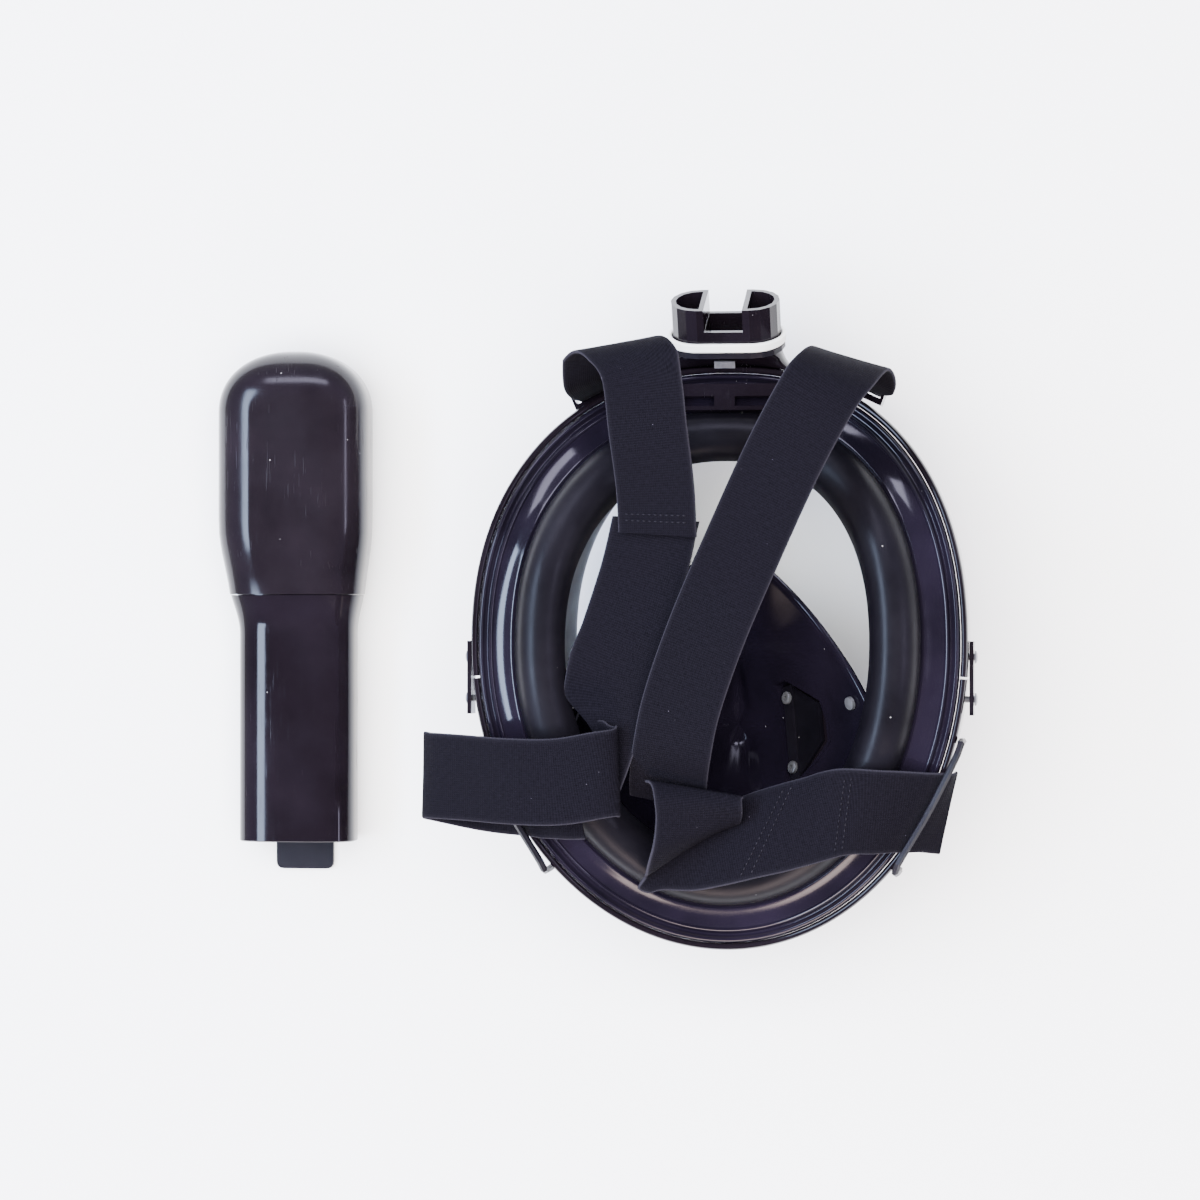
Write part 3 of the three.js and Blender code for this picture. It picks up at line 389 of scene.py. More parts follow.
FLOAT = satin("float_plastic", (0.62, 0.62, 0.58, 1), (0.74, 0.74, 0.70, 1), 0.5, 0.04)
WEBBING = webbing_material("elastic_webbing")
CLEAR = clear_material("clear_polycarbonate")
STEEL = steel_material("satin_steel")
THREAD = satin("sewing_thread", (0.006, 0.0055, 0.008, 1), (0.013, 0.012, 0.016, 1), 0.75, 0.02, 0.2)


# ---- the outline and height of the mask's rim ----
def rim_point(t, inset=0.0):
    top = math.sin(t) > 0
    exponent = 2 / (TOP_POWER if top else CHIN_POWER)
    height = (RIM_TOP if top else RIM_CHIN) - inset
    return Vector(((RIM_HALF_WIDTH - inset) * power(math.cos(t), exponent),
                   height * power(math.sin(t), exponent)))


def rim_height(t):
    drop = FOREHEAD_DROP if math.sin(t) > 0 else CHIN_DROP
    return SIDE_HEIGHT - drop * math.sin(t) ** 2


def lift(t, inset, rise):
    rim = rim_point(t, inset)
    return Vector((rim.x, rim.y, rim_height(t) + rise))


def around(steps, low=0.0, high=2 * math.pi):
    return [low + (high - low) * i / steps for i in range(steps)]


# ---- lens ----
def lens_point(t, share, inner):
    rise = max(0.0, (share - LENS_FLAT) / (1 - LENS_FLAT))
    z = (rim_height(t) - LENS_EDGE_DROP) * (1 - math.sqrt(max(0.0, 1 - rise ** 2)))
    rim = rim_point(t, LENS_INSET + inner * LENS_THICK * rise) * share
    return Vector((rim.x, rim.y, z + inner * LENS_THICK * (1 - rise)))


def lens_inner_height(x, y):
    top = y > 0
    n = TOP_POWER if top else CHIN_POWER
    across = abs(x) / (RIM_HALF_WIDTH - LENS_INSET)
    up = abs(y) / ((RIM_TOP if top else RIM_CHIN) - LENS_INSET)
    share = (across ** n + up ** n) ** (1 / n)
    t = math.atan2(math.copysign(up ** (n / 2), y), across ** (n / 2))
    return lens_point(t, min(share, 1.0), 1).z


def cutter(name, size, centre, matrix=None):
    bm = bmesh.new()
    bmesh.ops.create_cube(bm, size=1)
    bmesh.ops.scale(bm, vec=Vector(size), verts=bm.verts)
    bmesh.ops.translate(bm, vec=Vector(centre), verts=bm.verts)
    if matrix is not None:
        bmesh.ops.transform(bm, matrix=matrix, verts=bm.verts)
    return make_object(name, bm)


def cut(obj, cutters):
    """Cuts other objects out of this one and removes them."""
    for tool in cutters:
        mod = obj.modifiers.new("cut", "BOOLEAN")
        mod.object = tool
        mod.operation = "DIFFERENCE"
        mod.solver = "EXACT"
    apply_modifiers(obj)
    for tool in cutters:
        bpy.data.objects.remove(tool)
    return smooth(obj)


def build_lens():
    steps, rings = 144, 22
    shares = [LENS_FLAT + (1 - LENS_FLAT) * math.sin(math.pi * i / (2 * rings)) for i in range(rings + 1)]
    ring = lambda share, inner: [lens_point(t, share, inner) for t in around(steps)]
    rows = [ring(s, 0) for s in [0.0, 0.3] + shares]
    rows += [ring(s, 1) for s in reversed([0.0, 0.3] + shares)]
    lens = skin("lens_shell", rows)
    hole = cylinder_tool("lens_drain_hole", 10.4, 20, drain_matrix())
    window = cutter("lens_duct", (40, 24, 40), (0, RIM_TOP, 62))
    return dress(cut(lens, [hole, window]), CLEAR)


def drain_matrix():
    here = lens_point(-math.pi / 2, 0.9, 0.5)
    along = lens_point(-math.pi / 2, 0.95, 0.5) - lens_point(-math.pi / 2, 0.85, 0.5)
    across = Vector((1, 0, 0))
    out = across.cross(along.normalized())
    if out.z > 0:
        out.negate()
    columns = Matrix((across, out.cross(across), out)).transposed().to_4x4()
    return Matrix.Translation(here) @ columns


def cylinder_tool(name, radius, length, matrix, sides=48):
    bm = bmesh.new()
    bmesh.ops.create_cone(bm, cap_ends=True, segments=sides, radius1=radius, radius2=radius, depth=length)
    bmesh.ops.transform(bm, matrix=matrix, verts=bm.verts)
    return make_object(name, bm)


# ---- frame ----
FRAME_PROFILE = [(0, -16), (-0.05, -8), (0, 0), (0.15, 0.8), (0.6, 1.35), (1.3, 1.5), (2.0, 1.3), (2.5, 0.7),
                 (2.6, 0), (2.6, -16)]


def frame_half(name, low, high):
    steps = 150
    rows = []
    for i in range(steps + 1):
        t = low + (high - low) * i / steps
        rows.append([lift(t, *p) for p in FRAME_PROFILE])
    return skin(name, rows, caps=True)


def side_rods(radius, length, side):
    y = rim_point(FRAME_SPLIT).y
    turn = Matrix.Rotation(math.pi / 2, 4, "Y")
    return [
        cylinder_tool(f"screw_hole_{side}_{k}", radius, length,
                      Matrix.Translation((side * (RIM_HALF_WIDTH + 0.4), y + k, SIDE_HEIGHT - 7)) @ turn, 24)
        for k in (8, -8)
    ]


def build_frame():
    gap = 0.004
    upper = frame_half("frame_upper_shell", FRAME_SPLIT + gap, math.pi - FRAME_SPLIT - gap)
    lower = frame_half("frame_lower_shell", math.pi - FRAME_SPLIT + gap, 2 * math.pi + FRAME_SPLIT - gap)
    window = cutter("frame_duct", (40, 24, 10), (0, RIM_TOP, 47))
    cut(upper, [window] + side_rods(1.6, 14, 1) + side_rods(1.6, 14, -1))
    cut(lower, side_rods(1.6, 14, 1) + side_rods(1.6, 14, -1))
    dress(upper, BLACK)
    dress(lower, BLACK)
    return upper, lower


# ---- skirt ----
# (inset, rise) points over the top of the skirt, from its outer flange to the lip of the seal roll.
SKIRT_TOP = [(3.2, -0.5), (3.2, 1.6), (3.7, 2.3), (4.5, 2.4), (5.2, 1.5), (5.9, 0.8), (6.6, 0.9), (7.1, 2.2),
             (7.8, 2.85), (8.6, 2.4), (9.2, 2.2), (12.6, 3.0), (15.8, 4.3),
             (16.4, 4.4), (16.9, 3.9), (17.4, 5.0),
             (18.6, 7.6), (21.4, 10.8), (26, 12.8), (30.6, 12.3), (34.4, 9.6), (36.6, 5.6), (37, 4.2)]
SKIRT_UNDER = [(36.4, 3.6), (35.4, 4.0), (33.4, 7.4), (30, 9.7), (26, 10.2), (22.8, 8.6), (20.8, 5.6)]
SKIRT_BAND_UNDER = [(16.4, 2.6), (12.6, 1.0), (9, -0.5)]
GLOSSY_TOP_POINTS = 15  # the flange and the band are polished, the rest is satin
WALL_FOOT_INSET = 30.0
WALL_THICK = 2.0


def skirt_section(t):
    def wall(share, extra):
        inset = 24 + (WALL_FOOT_INSET - 24) * share - extra
        rim = rim_point(t, inset)
        foot = lens_inner_height(rim.x, rim.y) + WALL_FOOT_GAP
        return Vector((rim.x, rim.y, lerp(rim_height(t) + 2, foot, share)))

    shares = [0, 0.25, 0.5, 0.75, 1]
    inner = [wall(s, 0) for s in shares]
    outer = [wall(s, WALL_THICK) for s in reversed(shares)]
    points = [lift(t, *p) for p in SKIRT_TOP + SKIRT_UNDER]
    return points + inner + outer + [lift(t, *p) for p in SKIRT_BAND_UNDER]


def build_skirt():
    per_span = 3
    rows = [catmull(skirt_section(t), per_span, closed=True) for t in around(288)]
    glossy = GLOSSY_TOP_POINTS * per_span
    skirt = skin("skirt_shell", rows, loop_rows=True, strip_of=lambda i, j: 0 if j < glossy else 1)
    return dress(skirt, SILICONE_GLOSS, SILICONE_SATIN)


# ---- nose and mouth pocket ----
def nose_groove(x, y):
    """Depth of the hollow for the nose, a cone that widens towards the chin."""
    half_width = lerp(2.5, 13.0, (NOSE_TOP_Y - y) / (NOSE_TOP_Y - NOSE_LOW_Y))
    ends = smoothstep(y, NOSE_LOW_Y - 8, NOSE_LOW_Y + 6) * (1 - smoothstep(y, NOSE_TOP_Y - 8, NOSE_TOP_Y + 2))
    return NOSE_DEPTH * ends * (1 - smoothstep(abs(x), max(half_width, 2.5) * 0.35, max(half_width, 2.5)))


def pocket_point(t, share, drop=0.0):
    top = math.sin(t) > 0
    exponent = 2 / (POCKET_TOP_POWER if top else POCKET_CHIN_POWER)
    height = POCKET_TOP if top else POCKET_CHIN
    lip = POCKET_SIDE_Z - (24 if top else 16) * math.sin(t) ** 2
    x = POCKET_HALF_WIDTH * power(math.cos(t), exponent) * share
    y = POCKET_Y + height * power(math.sin(t), exponent) * share
    climb = (min(share, 1.0) - POCKET_FLAT) / (1 - POCKET_FLAT)
    rise = ((climb + math.sqrt(climb * climb + 0.0025)) / 2) ** 1.15
    z = POCKET_FLOOR_Z + (lip - POCKET_FLOOR_Z) * rise
    return Vector((x, y, z - nose_groove(x, y) - drop))


def pocket_height(x, y):
    top = y > POCKET_Y
    n = POCKET_TOP_POWER if top else POCKET_CHIN_POWER
    across = abs(x) / POCKET_HALF_WIDTH
    up = abs(y - POCKET_Y) / (POCKET_TOP if top else POCKET_CHIN)
    share = (across ** n + up ** n) ** (1 / n)
    t = math.atan2(math.copysign(up ** (n / 2), 1 if top else -1), across ** (n / 2))
    return pocket_point(t, share).z


VALVE_X, VALVE_Y = 25.0, -35.0
VALVE_LEAN = math.radians(21)
STUD_X, STUD_Y = 49.3, -22.2


def pocket_place(x, y, side, lean):
    """A place on the pocket's inner face: local X down the lean in the plan, local Z out of the face."""
    reach = 6
    slope_x = (pocket_height(x + reach, y) - pocket_height(x - reach, y)) / (2 * reach)
    slope_y = (pocket_height(x, y + reach) - pocket_height(x, y - reach)) / (2 * reach)
    normal = Vector((-slope_x, -slope_y, 1)).normalized()
    plan = Vector((side * math.sin(lean), -math.cos(lean), 0))
    hinge = (plan - normal * plan.dot(normal)).normalized() * side
    columns = Matrix((hinge, normal.cross(hinge), normal)).transposed().to_4x4()
    return Matrix.Translation((x, y, pocket_height(x, y))) @ columns


def valve_matrix(side):
    return pocket_place(side * VALVE_X, VALVE_Y, side, VALVE_LEAN)


def seat_outline(grow):
    """The valve seat's outline, grown a little, in the valve's own plane."""
    foot, tip, low, high = 20 + grow, 8 + grow / 2, -4 - grow, 20 + grow
    return [(-foot, low), (foot, low), (foot, 3), (tip, high), (-tip, high), (-foot, 3)]


def valve_window(side):
    """A prism a little larger than the valve seat, to cut the pocket wall."""
    bm = bmesh.new()
    rings = [[bm.verts.new((u, v, w)) for u, v in seat_outline(0.4)] for w in (-16, 14)]
    bm.faces.new(rings[0])
    bm.faces.new(rings[1])
    for i in range(len(rings[0])):
        k = (i + 1) % len(rings[0])
        bm.faces.new((rings[0][i], rings[0][k], rings[1][k], rings[1][i]))
    bmesh.ops.transform(bm, matrix=valve_matrix(side), verts=bm.verts)
    return make_object(f"valve_window_{side}", bm)


def build_boss(label, side):
    """The moulded boss round a valve seat, which closes the curved wall of the pocket onto the flat seat."""
    place = valve_matrix(side)

    def ring(grow, upper):
        corners = seat_outline(grow)
        points = []
        for (u0, v0), (u1, v1) in zip(corners, corners[1:] + corners[:1]):
            for i in range(10):
                u, v = lerp(u0, u1, i / 10), lerp(v0, v1, i / 10)
                foot = place @ Vector((u, v, 0))
                wall = (pocket_height(foot.x, foot.y) - foot.z) * place[2][2]
                height = max(1.1, wall + 0.1) if upper else min(-2.8, wall - POCKET_THICK)
                points.append(place @ Vector((u, v, height)))
        return points

    rows = [ring(0.05, False), ring(1.5, False), ring(1.5, True), ring(0.05, True)]
    return dress(skin(f"pocket_valve_boss_{label}", rows, loop_rows=True), SILICONE_GLOSS)


def build_pocket():
    steps = 220
    angles = [a + math.pi / steps for a in around(steps)]
    ring = lambda share, drop: [pocket_point(t, share, drop) for t in angles]
    shares = [0.0] + [POCKET_FLAT + (1 - POCKET_FLAT) * i / 26 for i in range(27)]
    lip = [(1.012, 0.0), (1.03, 0.15), (1.04, 0.6), (1.042, 1.2), (1.035, 1.9), (1.02, 2.4)]
    rows = [ring(s, 0) for s in shares]
    rows += [ring(s, drop - 0.25) for s, drop in lip]
    rows += [ring(s, POCKET_THICK) for s in reversed(shares)]
    pocket = skin("pocket_shell", rows)
    tools = [valve_window(1), valve_window(-1)]
    for side in (1, -1):
        place = pocket_place(side * STUD_X, STUD_Y, side, 0)
        tools.append(cylinder_tool(f"stud_hole_{side}", 1.7, 12, place, 24))
    return dress(cut(pocket, tools), SILICONE_GLOSS)


# ---- neck, socket and seal ----
def socket_matrix(down):
    axis = Vector((0, math.cos(SOCKET_TILT), math.sin(SOCKET_TILT)))
    return Matrix.Translation(SOCKET_TOP - axis * down) @ Matrix.Rotation(SOCKET_TILT - math.pi / 2, 4, "X")


def oblong(half_width, half_depth, steps=20):
    right = []
    for i in range(steps + 1):
        a = math.pi * i / steps - math.pi / 2
        right.append(Vector((half_width - half_depth + half_depth * math.cos(a), half_depth * math.sin(a))))
    return right + [-p for p in right]


def build_seal():
    """A ring of round-edged section round the socket."""
    section = [(0.35, 0.3), (0.35, 3.3), (0.7, 3.6), (1.5, 3.5), (1.9, 3.0), (1.9, 0.6), (1.5, 0.1), (0.7, 0)]
    place = socket_matrix(SEAL_FROM_TOP)
    loops = [[place @ Vector((p.x, p.y, h)) for p in oblong(SOCKET_HALF_WIDTH + g, SOCKET_HALF_DEPTH + g)]
             for g, h in section]
    return dress(skin("seal_ring", loops, loop_rows=True), WHITE)


def rim_top_at(x):
    return RIM_TOP * (1 - (abs(x) / RIM_HALF_WIDTH) ** TOP_POWER) ** (1 / TOP_POWER)


def build_neck():
    steps = 96
    place = socket_matrix(SEAL_FROM_TOP + 2.8)

    def upper(inset):
        return [place @ Vector(((SOCKET_HALF_WIDTH - 1 - inset) * power(math.cos(a), 0.7),
                                -(SOCKET_HALF_DEPTH - inset) * power(math.sin(a), 0.8), 0))
                    for a in around(steps)]

    def lower(inset):
        xs = [(29 - inset) * power(math.cos(a), 0.8) for a in around(steps)]
        return [Vector((x, rim_top_at(x) + 0.4, 47 + (9.5 - inset) * power(math.sin(a), 0.8)))
                for x, a in zip(xs, around(steps))]

    def between(inset, share):
        waist = 1 - 0.07 * math.sin(math.pi * min(1.0, share / 0.9))
        return [Vector((lerp(a.x, b.x, share) * waist, lerp(a.y, b.y, share), lerp(a.z, b.z, share)))
                for a, b in zip(lower(inset), upper(inset))]

    shares = [0, 0.12, 0.25, 0.4, 0.55, 0.7, 0.85, 1]
    rows = [between(0, s) for s in shares] + [between(2, s) for s in reversed(shares)]
    return dress(skin("neck_shell", rows, loop_rows=True), BLACK)


# ---- straps ----
def rim_place(t, outward):
    along = (rim_point(t + 0.01) - rim_point(t - 0.01)).normalized()
    out = Vector((along.y, -along.x))
    return rim_point(t) + out * outward, along


def lug_rows(t, heights):
    at, along = rim_place(t, LUG_OFFSET)
    half = math.copysign(UPPER_STRAP_WIDTH / 2, along.x)
    a, b = at - along * half, at + along * half
    return [(a.x, a.y, z, b.x, b.y, z) for z in heights]


# Each row: x, y, z of one edge of the strap, then of its other edge.
STRAPS = {
    "strap_upper_left": lug_rows(math.radians(115.5), [30, 44, 60]) + [
        (-61, 98, 78, -31, 110, 80), (-57, 108, 96, -27, 115, 98), (-49, 111, 109, -18, 115, 112),
        (-41, 102, 116, -11, 104, 118), (-39, 81, 113, -8, 81, 114), (-37, 60, 107, -6, 60, 109),
        (-36, 43, 103, -6, 41, 105)],
    "strap_upper_right": lug_rows(math.radians(66), [30, 44, 60]) + [
        (38, 110, 80, 68, 96, 78), (38, 112, 100, 65, 104, 97), (33, 109, 114, 62, 98, 112),
        (26, 99, 119, 55, 88, 118), (13, 74, 115, 41, 64, 116), (-3, 40, 111, 26, 32, 112),
        (-16, 10, 109, 12, 0, 109), (-26, -18, 105.5, 2.5, -26, 105), (-30.5, -36, 101, -1.5, -43, 99.5),
        (-33, -49, 90.5, -4.5, -55, 89), (-34, -57, 84, -5, -63, 82)],
    "strap_lower_left": [
        (-37, 49, 99.8, -7, 47, 101.6), (-44, 27, 100, -9, 31, 102), (-50, 8, 98, -16, 10, 102),
        (-56, -7, 96, -23, -9, 100), (-57, -17, 94, -28, -27, 98), (-52, -26, 94, -34, -46, 98),
        (-44, -30, 96, -39, -61, 98), (-37, -31, 102, -36, -64, 102.5), (-44, -33, 107, -44, -65, 106),
        (-60, -36, 107, -60, -67, 105), (-80, -35, 104, -78, -68, 101), (-97, -33, 98, -96, -68, 95),
        (-109, -32, 92, -110, -68, 90), (-113, -32, 87, -114, -68, 85), (-109, -34, 83, -108, -69, 80),
        (-99, -38, 84.5, -92, -71, 79.5), (-89.5, -41, 89.4, -77.5, -72.5, 83.2),
        (-78, -42, 95, -67, -73.5, 90), (-66, -42, 99.7, -58, -73.5, 94.5), (-56, -42, 99.7, -50, -73, 94.5)],
    "strap_lower_right": [
        (-27, -51.5, 94, 9, -57.5, 90.5), (-25.5, -52, 97, 10.5, -58, 92.5),
        (-23.5, -58, 99.5, 10.5, -61.5, 93), (-23, -66, 98.5, 10, -65, 90), (-23, -77, 97, 7, -68, 86),
        (-26, -86, 92, 3, -68, 82), (-30, -90, 86, 0, -64, 80), (-25, -93, 83, 3, -60, 80),
        (-10, -93, 83, 12, -57, 83), (17, -86, 89, 32, -52, 92), (45, -80, 95, 50, -46, 100),
        (58, -80, 91.5, 67, -45.5, 98), (70.5, -80.5, 82.2, 87.5, -46, 89), (83, -80, 75, 90.5, -47, 81)],
}
# Where the straps are sewn across, in two rows each.
SEAMS = {
    "strap_upper_left": [(-23, 50, 104), (-23, 47.5, 104)],
    "strap_lower_right": [(18, -71, 90), (20.5, -70.5, 90), (47, -63, 97), (49.5, -63, 97)],
}
# Section of the webbing: share of the half width, share of the half thickness.
STRAP_SECTION = [(-1, -0.45), (-0.97, -0.95), (-0.9, -1), (-0.6, -0.92), (-0.3, -0.9), (0, -0.9), (0.3, -0.9),
                 (0.6, -0.92), (0.9, -1), (0.97, -0.95), (1, -0.45)]


def strap_frames(rows, width, per_row=14):
    """Middle, half of the cross vector, normal, distance along and unit direction at each step of a strap."""
    left = catmull([Vector(r[:3]) for r in rows], per_row)
    right = catmull([Vector(r[3:]) for r in rows], per_row)
    middle = [(a + b) / 2 for a, b in zip(left, right)]
    frames, travelled = [], 0.0
    for i, (a, b) in enumerate(zip(left, right)):
        ahead = (middle[min(i + 1, len(middle) - 1)] - middle[max(i - 1, 0)]).normalized()
        across = b - a
        square = across.cross(ahead)
        stretch = min(1.12, max(0.88, width / square.length))
        if i:
            travelled += (middle[i] - middle[i - 1]).length
        frames.append((middle[i], across * stretch / 2, square.normalized(), travelled, ahead))
    return frames


def build_strap(name, rows, width, seed):
    """Elastic webbing with rounded edges. Its UV map is in millimetres, for the weave."""
    bm = bmesh.new()
    uv = bm.loops.layers.uv.new("UVMap")
    loop = STRAP_SECTION + [(-u, -h) for u, h in STRAP_SECTION]
    frames = strap_frames(rows, width)
    rings, places = [], {}
    for middle, half, normal, travelled, ahead in frames:
        ring = []
        for u, h in loop:
            flutter = 0.25 * noise(Vector((travelled * 0.045, u * 0.8, seed))) * abs(u) ** 2
            point = middle + half * u + normal * (h * STRAP_THICK / 2 * 0.9 + flutter)
            vert = bm.verts.new(point)
            places[vert] = (u * WEAVE_HALF_WIDTH, travelled + u * half.dot(ahead))
            ring.append(vert)
        rings.append(ring)
    count = len(loop)
    for a, b in zip(rings, rings[1:]):
        for j in range(count):
            k = (j + 1) % count
            bm.faces.new((a[j], a[k], b[k], b[j]))
    bm.faces.new(rings[0])
    bm.faces.new(rings[-1])
    for face in bm.faces:
        for corner in face.loops:
            corner[uv].uv = places[corner.vert]
    strap = smooth(make_object(name, bm), 60)
    return dress(strap, WEBBING), frames


def stitch_rows(name, frames, places, inset=2.5, pitch=2.2):
    """Short sewn stitches across the strap, on its face side, at the frames nearest to the given places."""
    bm = bmesh.new()
    for place in places:
        middle, half, normal = min(frames, key=lambda f: (f[0] - Vector(place)).length)[:3]
        side = math.copysign(1, normal.z)
        width = half.length
        across = half.normalized()
        count = int((2 * width - 2 * inset) / pitch)
        for i in range(count):
            u = -width + inset + (i + 0.5) * pitch
            centre = middle + across * u + normal * side * (STRAP_THICK / 2 + 0.1)
            a = across * (pitch * 0.34)
            b = across.cross(normal).normalized() * 0.28
            top = normal * side * 0.25
            low = [bm.verts.new(centre + p) for p in (a, b, -a, -b)]
            high = [bm.verts.new(centre + p * 0.6 + top) for p in (a, b, -a, -b)]
            bm.faces.new(low)
            bm.faces.new(high)
            for j in range(4):
                k = (j + 1) % 4
                bm.faces.new((low[j], low[k], high[k], high[j]))
    return dress(make_object(name, bm), THREAD)


# ---- detached tube ----
def tube_row(y, half_width, half_depth, middle_z, steps=96, form=3.0):
    row = []
    for a in around(steps):
        row.append(Vector((TUBE_X + half_width * power(math.cos(a), 2 / form), y,
                           middle_z + half_depth * power(math.sin(a), 2 / form))))
    return row


def build_tube():
    def outer(y):
        share = smoothstep(y, 4, TUBE_JOINT_Y + 8) / smoothstep(TUBE_JOINT_Y, 4, TUBE_JOINT_Y + 8)
        depth = lerp(TUBE_HALF_DEPTH, COLLAR_Z, share)
        return tube_row(y, lerp(TUBE_HALF_WIDTH, JOINT_HALF_WIDTH, share), depth, depth)

    def inner(y):
        share = smoothstep(y, 4, 18)
        return tube_row(y, lerp(21.6, 22, share), lerp(12, 12.6, share),
                        lerp(TUBE_HALF_DEPTH, COLLAR_Z, share))

    end = TUBE_END_Y
    rows = [tube_row(end, 21.9, 12.3, 14), tube_row(end, 23.2, 13.6, 14), tube_row(end + 0.4, 23.6, 14, 14)]
    rows += [outer(y) for y in (-60, -30, 0, 4, 6, 8, 10, 12, 14, 16, 18, TUBE_JOINT_Y)]
    rows += [tube_row(TUBE_JOINT_Y + 0.1, JOINT_HALF_WIDTH - 0.05, COLLAR_Z - 0.05, COLLAR_Z)]
    rows += [tube_row(TUBE_JOINT_Y + 0.1, 24, 14, COLLAR_Z), tube_row(36, 24, 14, COLLAR_Z),
             tube_row(36, 22, 12, COLLAR_Z)]
    rows += [inner(y) for y in (18, 14, 10, 7, 4, -30, -60, end + 0.4)]
    tube = skin("tube_shell", rows, loop_rows=True)
    tongue = cutter("tongue_window", (24.5, 36.4, 4), (TUBE_X, -73.7, 1.4))
    return dress(cut(tube, [tongue]), BLACK)


def cap_row(y, inset):
    taper = smoothstep(y, TUBE_JOINT_Y - 6, 48)
    up = max(0.0, (y - TUBE_TOP_Y + CAP_DOME) / (CAP_DOME - inset))
    dome = max(0.0, 1 - min(1.0, up) ** 2.2) ** (1 / 2.2)
    half_width = lerp(JOINT_HALF_WIDTH, CAP_HALF_WIDTH, taper)
    half_depth = lerp(COLLAR_Z, CAP_HALF_DEPTH, taper)
    row = tube_row(y, (half_width - inset) * dome, (half_depth - inset) * dome, half_depth, 216)
    if inset == 0:
        panel = PANEL_DROP * smoothstep(y, 22, 30) * (1 - smoothstep(y, 95, 98))
        front = half_depth + half_depth * dome - panel
        row = [Vector((p.x, p.y, min(p.z, front))) for p in row]
    return row


def build_cap():
    low = TUBE_JOINT_Y + 0.4
    start = TUBE_TOP_Y - CAP_DOME
    straight = [low + 0.05, 24, 28, 32, 36, 40, 44, 50, 60, 75, start]
    dome = [math.sin(math.pi / 2 * i / 22) for i in range(1, 23)]
    heights = lambda inset: straight + [start + s * (CAP_DOME - inset) for s in dome]
    rows = [cap_row(y, 0) for y in reversed(heights(0))]
    rows += [cap_row(low, 0.05), cap_row(low, TUBE_WALL)]
    rows += [cap_row(y, TUBE_WALL) for y in heights(TUBE_WALL)]
    cap = skin("cap_shell_fine", rows)
    slots = [cutter(f"cap_slot_{i}", (30, 3.4, 10), (TUBE_X, y, 1)) for i, y in enumerate((84, 91, 98))]
    return dress(cut(cap, slots), BLACK_CAP)


# ---- assembly ----
def replace(obj, node, body="mask"):
    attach(obj, body)
    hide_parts(node)
    return obj


replace(build_lens(), "lens")
frame_upper, frame_lower = build_frame()
replace(frame_upper, "frame_upper")
replace(frame_lower, "frame_lower")
replace(build_skirt(), "skirt")
replace(build_pocket(), "orinasal_pocket")
for boss_side, boss_label in ((1, "right"), (-1, "left")):
    boss = build_boss(boss_label, boss_side)
    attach(boss, "mask")
replace(build_seal(), "socket_seal")
replace(build_neck(), "socket_neck")
replace(build_tube(), "tube_body", "tube")
replace(build_cap(), "cap_shell", "tube")

for number, (strap_name, strap_rows) in enumerate(STRAPS.items()):
    strap_width = UPPER_STRAP_WIDTH if "upper" in strap_name else LOWER_STRAP_WIDTH
    strap, frames = build_strap(strap_name + "_webbing", strap_rows, strap_width, number * 3.7)
    replace(strap, strap_name)
    if strap_name in SEAMS:
        seam = stitch_rows(strap_name + "_stitching", frames, SEAMS[strap_name])
        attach(seam, "mask")

KEPT = {
    BLACK: ["frame_clip_right", "frame_clip_left", "forehead_vent", "snorkel_socket", "strap_lug_upper_left",
            "strap_lug_upper_right", "drain_cover", "pocket_valve_seat_right", "pocket_valve_seat_left"],
    SATIN: ["drain_seat", "socket_valve_plate", "strap_lug_lower_left", "strap_lug_lower_right",
            "latch_tongue",
            "tube_divider_right", "tube_divider_left", "float_cage", "valve_seat", "pocket_valve_strip_right",
            "pocket_valve_strip_left"],
    SILICONE_SATIN: ["pocket_valve_flap_right", "pocket_valve_flap_left", "drain_disc", "exhaust_flap_right",
                     "exhaust_flap_left", "float_seal"],
    FLOAT: ["float_body"],
    STEEL: ["frame_screw_right_1", "frame_screw_right_2", "frame_screw_left_1", "frame_screw_left_2",
            "pocket_valve_pin_right_1", "pocket_valve_pin_right_2", "pocket_valve_pin_left_1",
            "pocket_valve_pin_left_2", "pocket_stud_right", "pocket_stud_left", "tube_catch"],
}
SMALL_BEVEL = {"pocket_valve_flap_right": 0.2, "pocket_valve_flap_left": 0.2, "exhaust_flap_right": 0.15,
               "exhaust_flap_left": 0.15, "drain_disc": 0.15, "tube_catch": 0.3}
for material, names in KEPT.items():
    for name in names:
        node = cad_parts[name]
        dress(node, material)
        bevel(node, SMALL_BEVEL.get(name, 0.4))


# ---- stage ----
def build_floor():
    bm = bmesh.new()
    bmesh.ops.create_grid(bm, x_segments=1, y_segments=1, size=4000)
    floor = make_object("floor", bm)
    floor.location = (0, 0, -0.0002)
    n = Nodes("floor_pale")
    tone = n.mix(n.noise(3, 2, 0.5), (0.93, 0.93, 0.935, 1), (0.95, 0.95, 0.95, 1))
    dress(floor, n.set(Base_Color=tone, Roughness=0.7))


def area_light(name, place, aim, long_axis, size, energy, colour=(1, 1, 1), mirrored=True):
    """A rectangular lamp: size is (along long_axis, across it). An unmirrored lamp leaves no reflection."""
    data = bpy.data.lights.new(name, "AREA")
    data.shape = "RECTANGLE"
    data.size, data.size_y = size
    data.energy = energy
    data.color = colour
    lamp = bpy.data.objects.new(name, data)
    back = (Vector(place) - Vector(aim)).normalized()
    along = (Vector(long_axis) - back * back.dot(Vector(long_axis))).normalized()
    turn = Matrix((along, back.cross(along), back)).transposed().to_4x4()
    lamp.matrix_world = Matrix.Translation(place) @ turn
    lamp.visible_glossy = mirrored
    collection.objects.link(lamp)


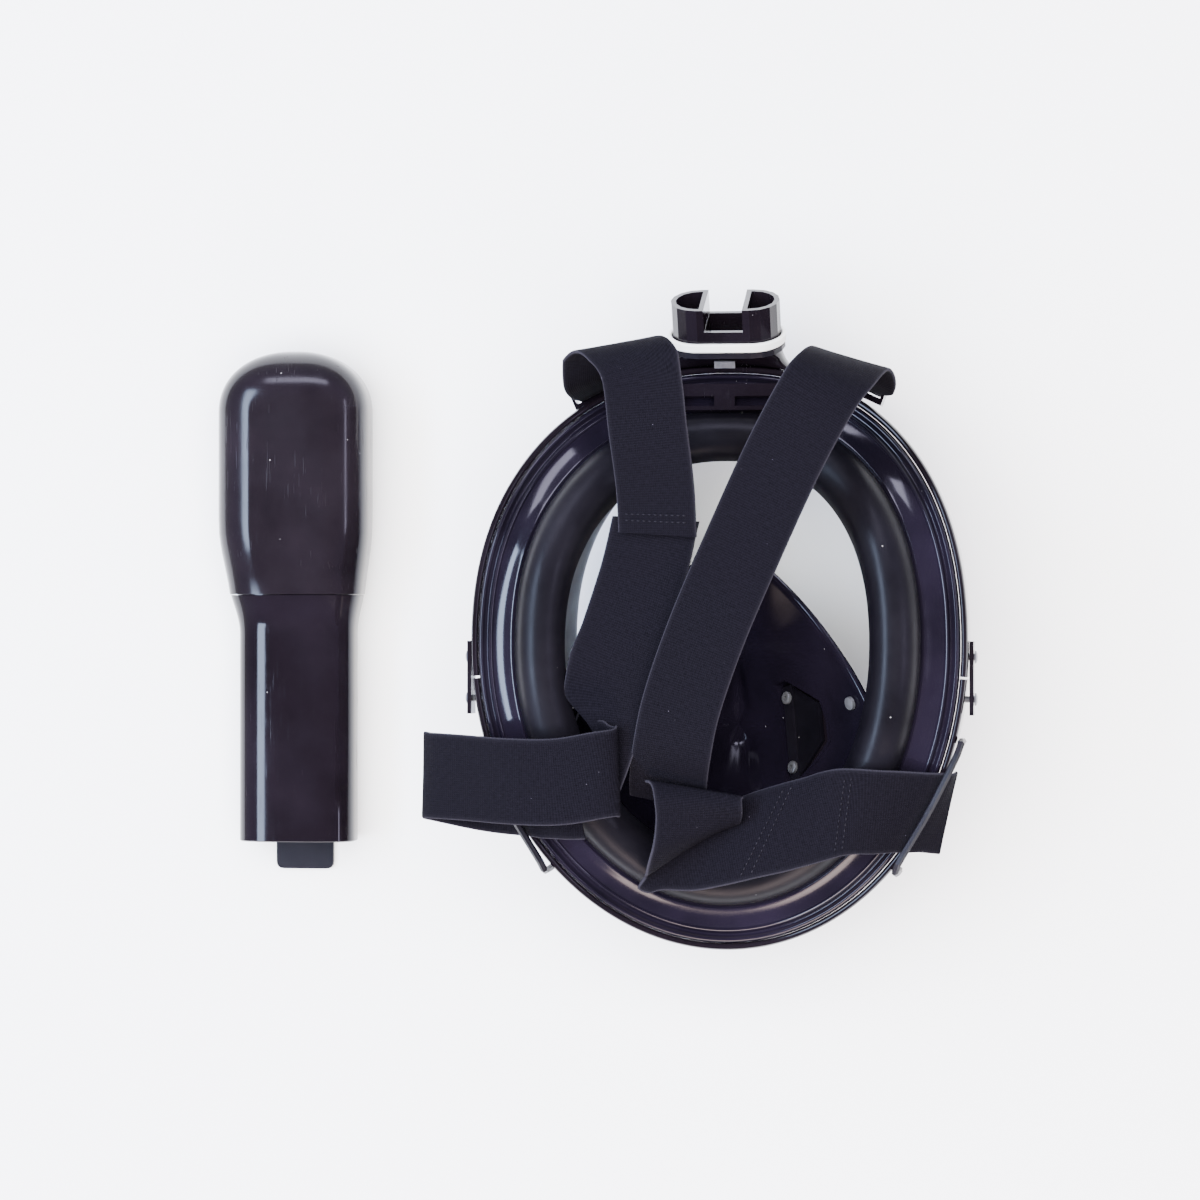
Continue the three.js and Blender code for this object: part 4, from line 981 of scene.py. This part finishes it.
def build_world():
    """A dim violet ceiling over a bright white horizon, as round a white table."""
    world = bpy.data.worlds.new("studio")
    world.use_nodes = True
    tree = world.node_tree
    where = tree.nodes.new("ShaderNodeTexCoord").outputs["Generated"]
    split = tree.nodes.new("ShaderNodeSeparateXYZ")
    ramp = tree.nodes.new("ShaderNodeValToRGB")
    tree.links.new(where, split.inputs[0])
    tree.links.new(split.outputs["Z"], ramp.inputs["Fac"])
    stops = [(0.0, (1.3, 1.3, 1.35)), (0.25, (0.75, 0.73, 0.95)), (0.6, (0.38, 0.32, 0.58)),
             (0.86, (0.13, 0.10, 0.17)), (1.0, (0.062, 0.048, 0.066))]
    while len(ramp.color_ramp.elements) < len(stops):
        ramp.color_ramp.elements.new(0.5)
    for element, (position, colour) in zip(ramp.color_ramp.elements, stops):
        element.position = position
        element.color = (*colour, 1)
    tree.links.new(ramp.outputs["Color"], tree.nodes["Background"].inputs["Color"])
    bpy.context.scene.world = world


def build_light():
    build_world()
    area_light("overhead", (0, 0, 2.6), (0, 0, 0), (1, 0, 0), (3.2, 3.2),
               540, (1, 0.995, 0.99), mirrored=False)
    area_light("left_strip", (-0.98, 0.1, 1.15), (-0.15, 0, 0), (0, 1, 0), (1.5, 0.3), 50, (0.58, 0.72, 1.0))
    area_light("right_strip", (1.6, 0.2, 1.5), (0, 0, 0), (0, 1, 0), (1.3, 0.14), 9, (0.78, 0.74, 1.0))
    area_light("crown_soft", (-0.25, 1.5, 1.3), (-0.1, 0, 0), (1, 0, 0), (1.1, 0.3), 16, (0.78, 0.76, 1.0))
    area_light("chin_soft", (0.1, -1.5, 0.85), (0, 0, 0), (1, 0, 0), (0.9, 0.5), 30, (1.0, 0.80, 0.74))


CAMERA_AIM = Vector((-0.047, 0.0173, 0.075))
CAMERA_DISTANCE = 1.6
CAMERA_LEAN = math.radians(8)  # the camera stands this far to the +X side of straight above
VIEW_WIDTH = 0.462  # width of the picture at the aim point


def build_camera():
    data = bpy.data.cameras.new("camera")
    data.sensor_width = 36
    data.lens = 36 * CAMERA_DISTANCE / VIEW_WIDTH
    camera = bpy.data.objects.new("camera", data)
    back = Vector((math.sin(CAMERA_LEAN), 0, math.cos(CAMERA_LEAN)))
    camera.location = CAMERA_AIM + back * CAMERA_DISTANCE
    right = Vector((math.cos(CAMERA_LEAN), 0, -math.sin(CAMERA_LEAN)))
    camera.rotation_euler = Matrix((right, Vector((0, 1, 0)), back)).transposed().to_euler()
    data.clip_start, data.clip_end = 0.05, 20
    collection.objects.link(camera)
    bpy.context.scene.camera = camera


build_floor()
build_light()
build_camera()
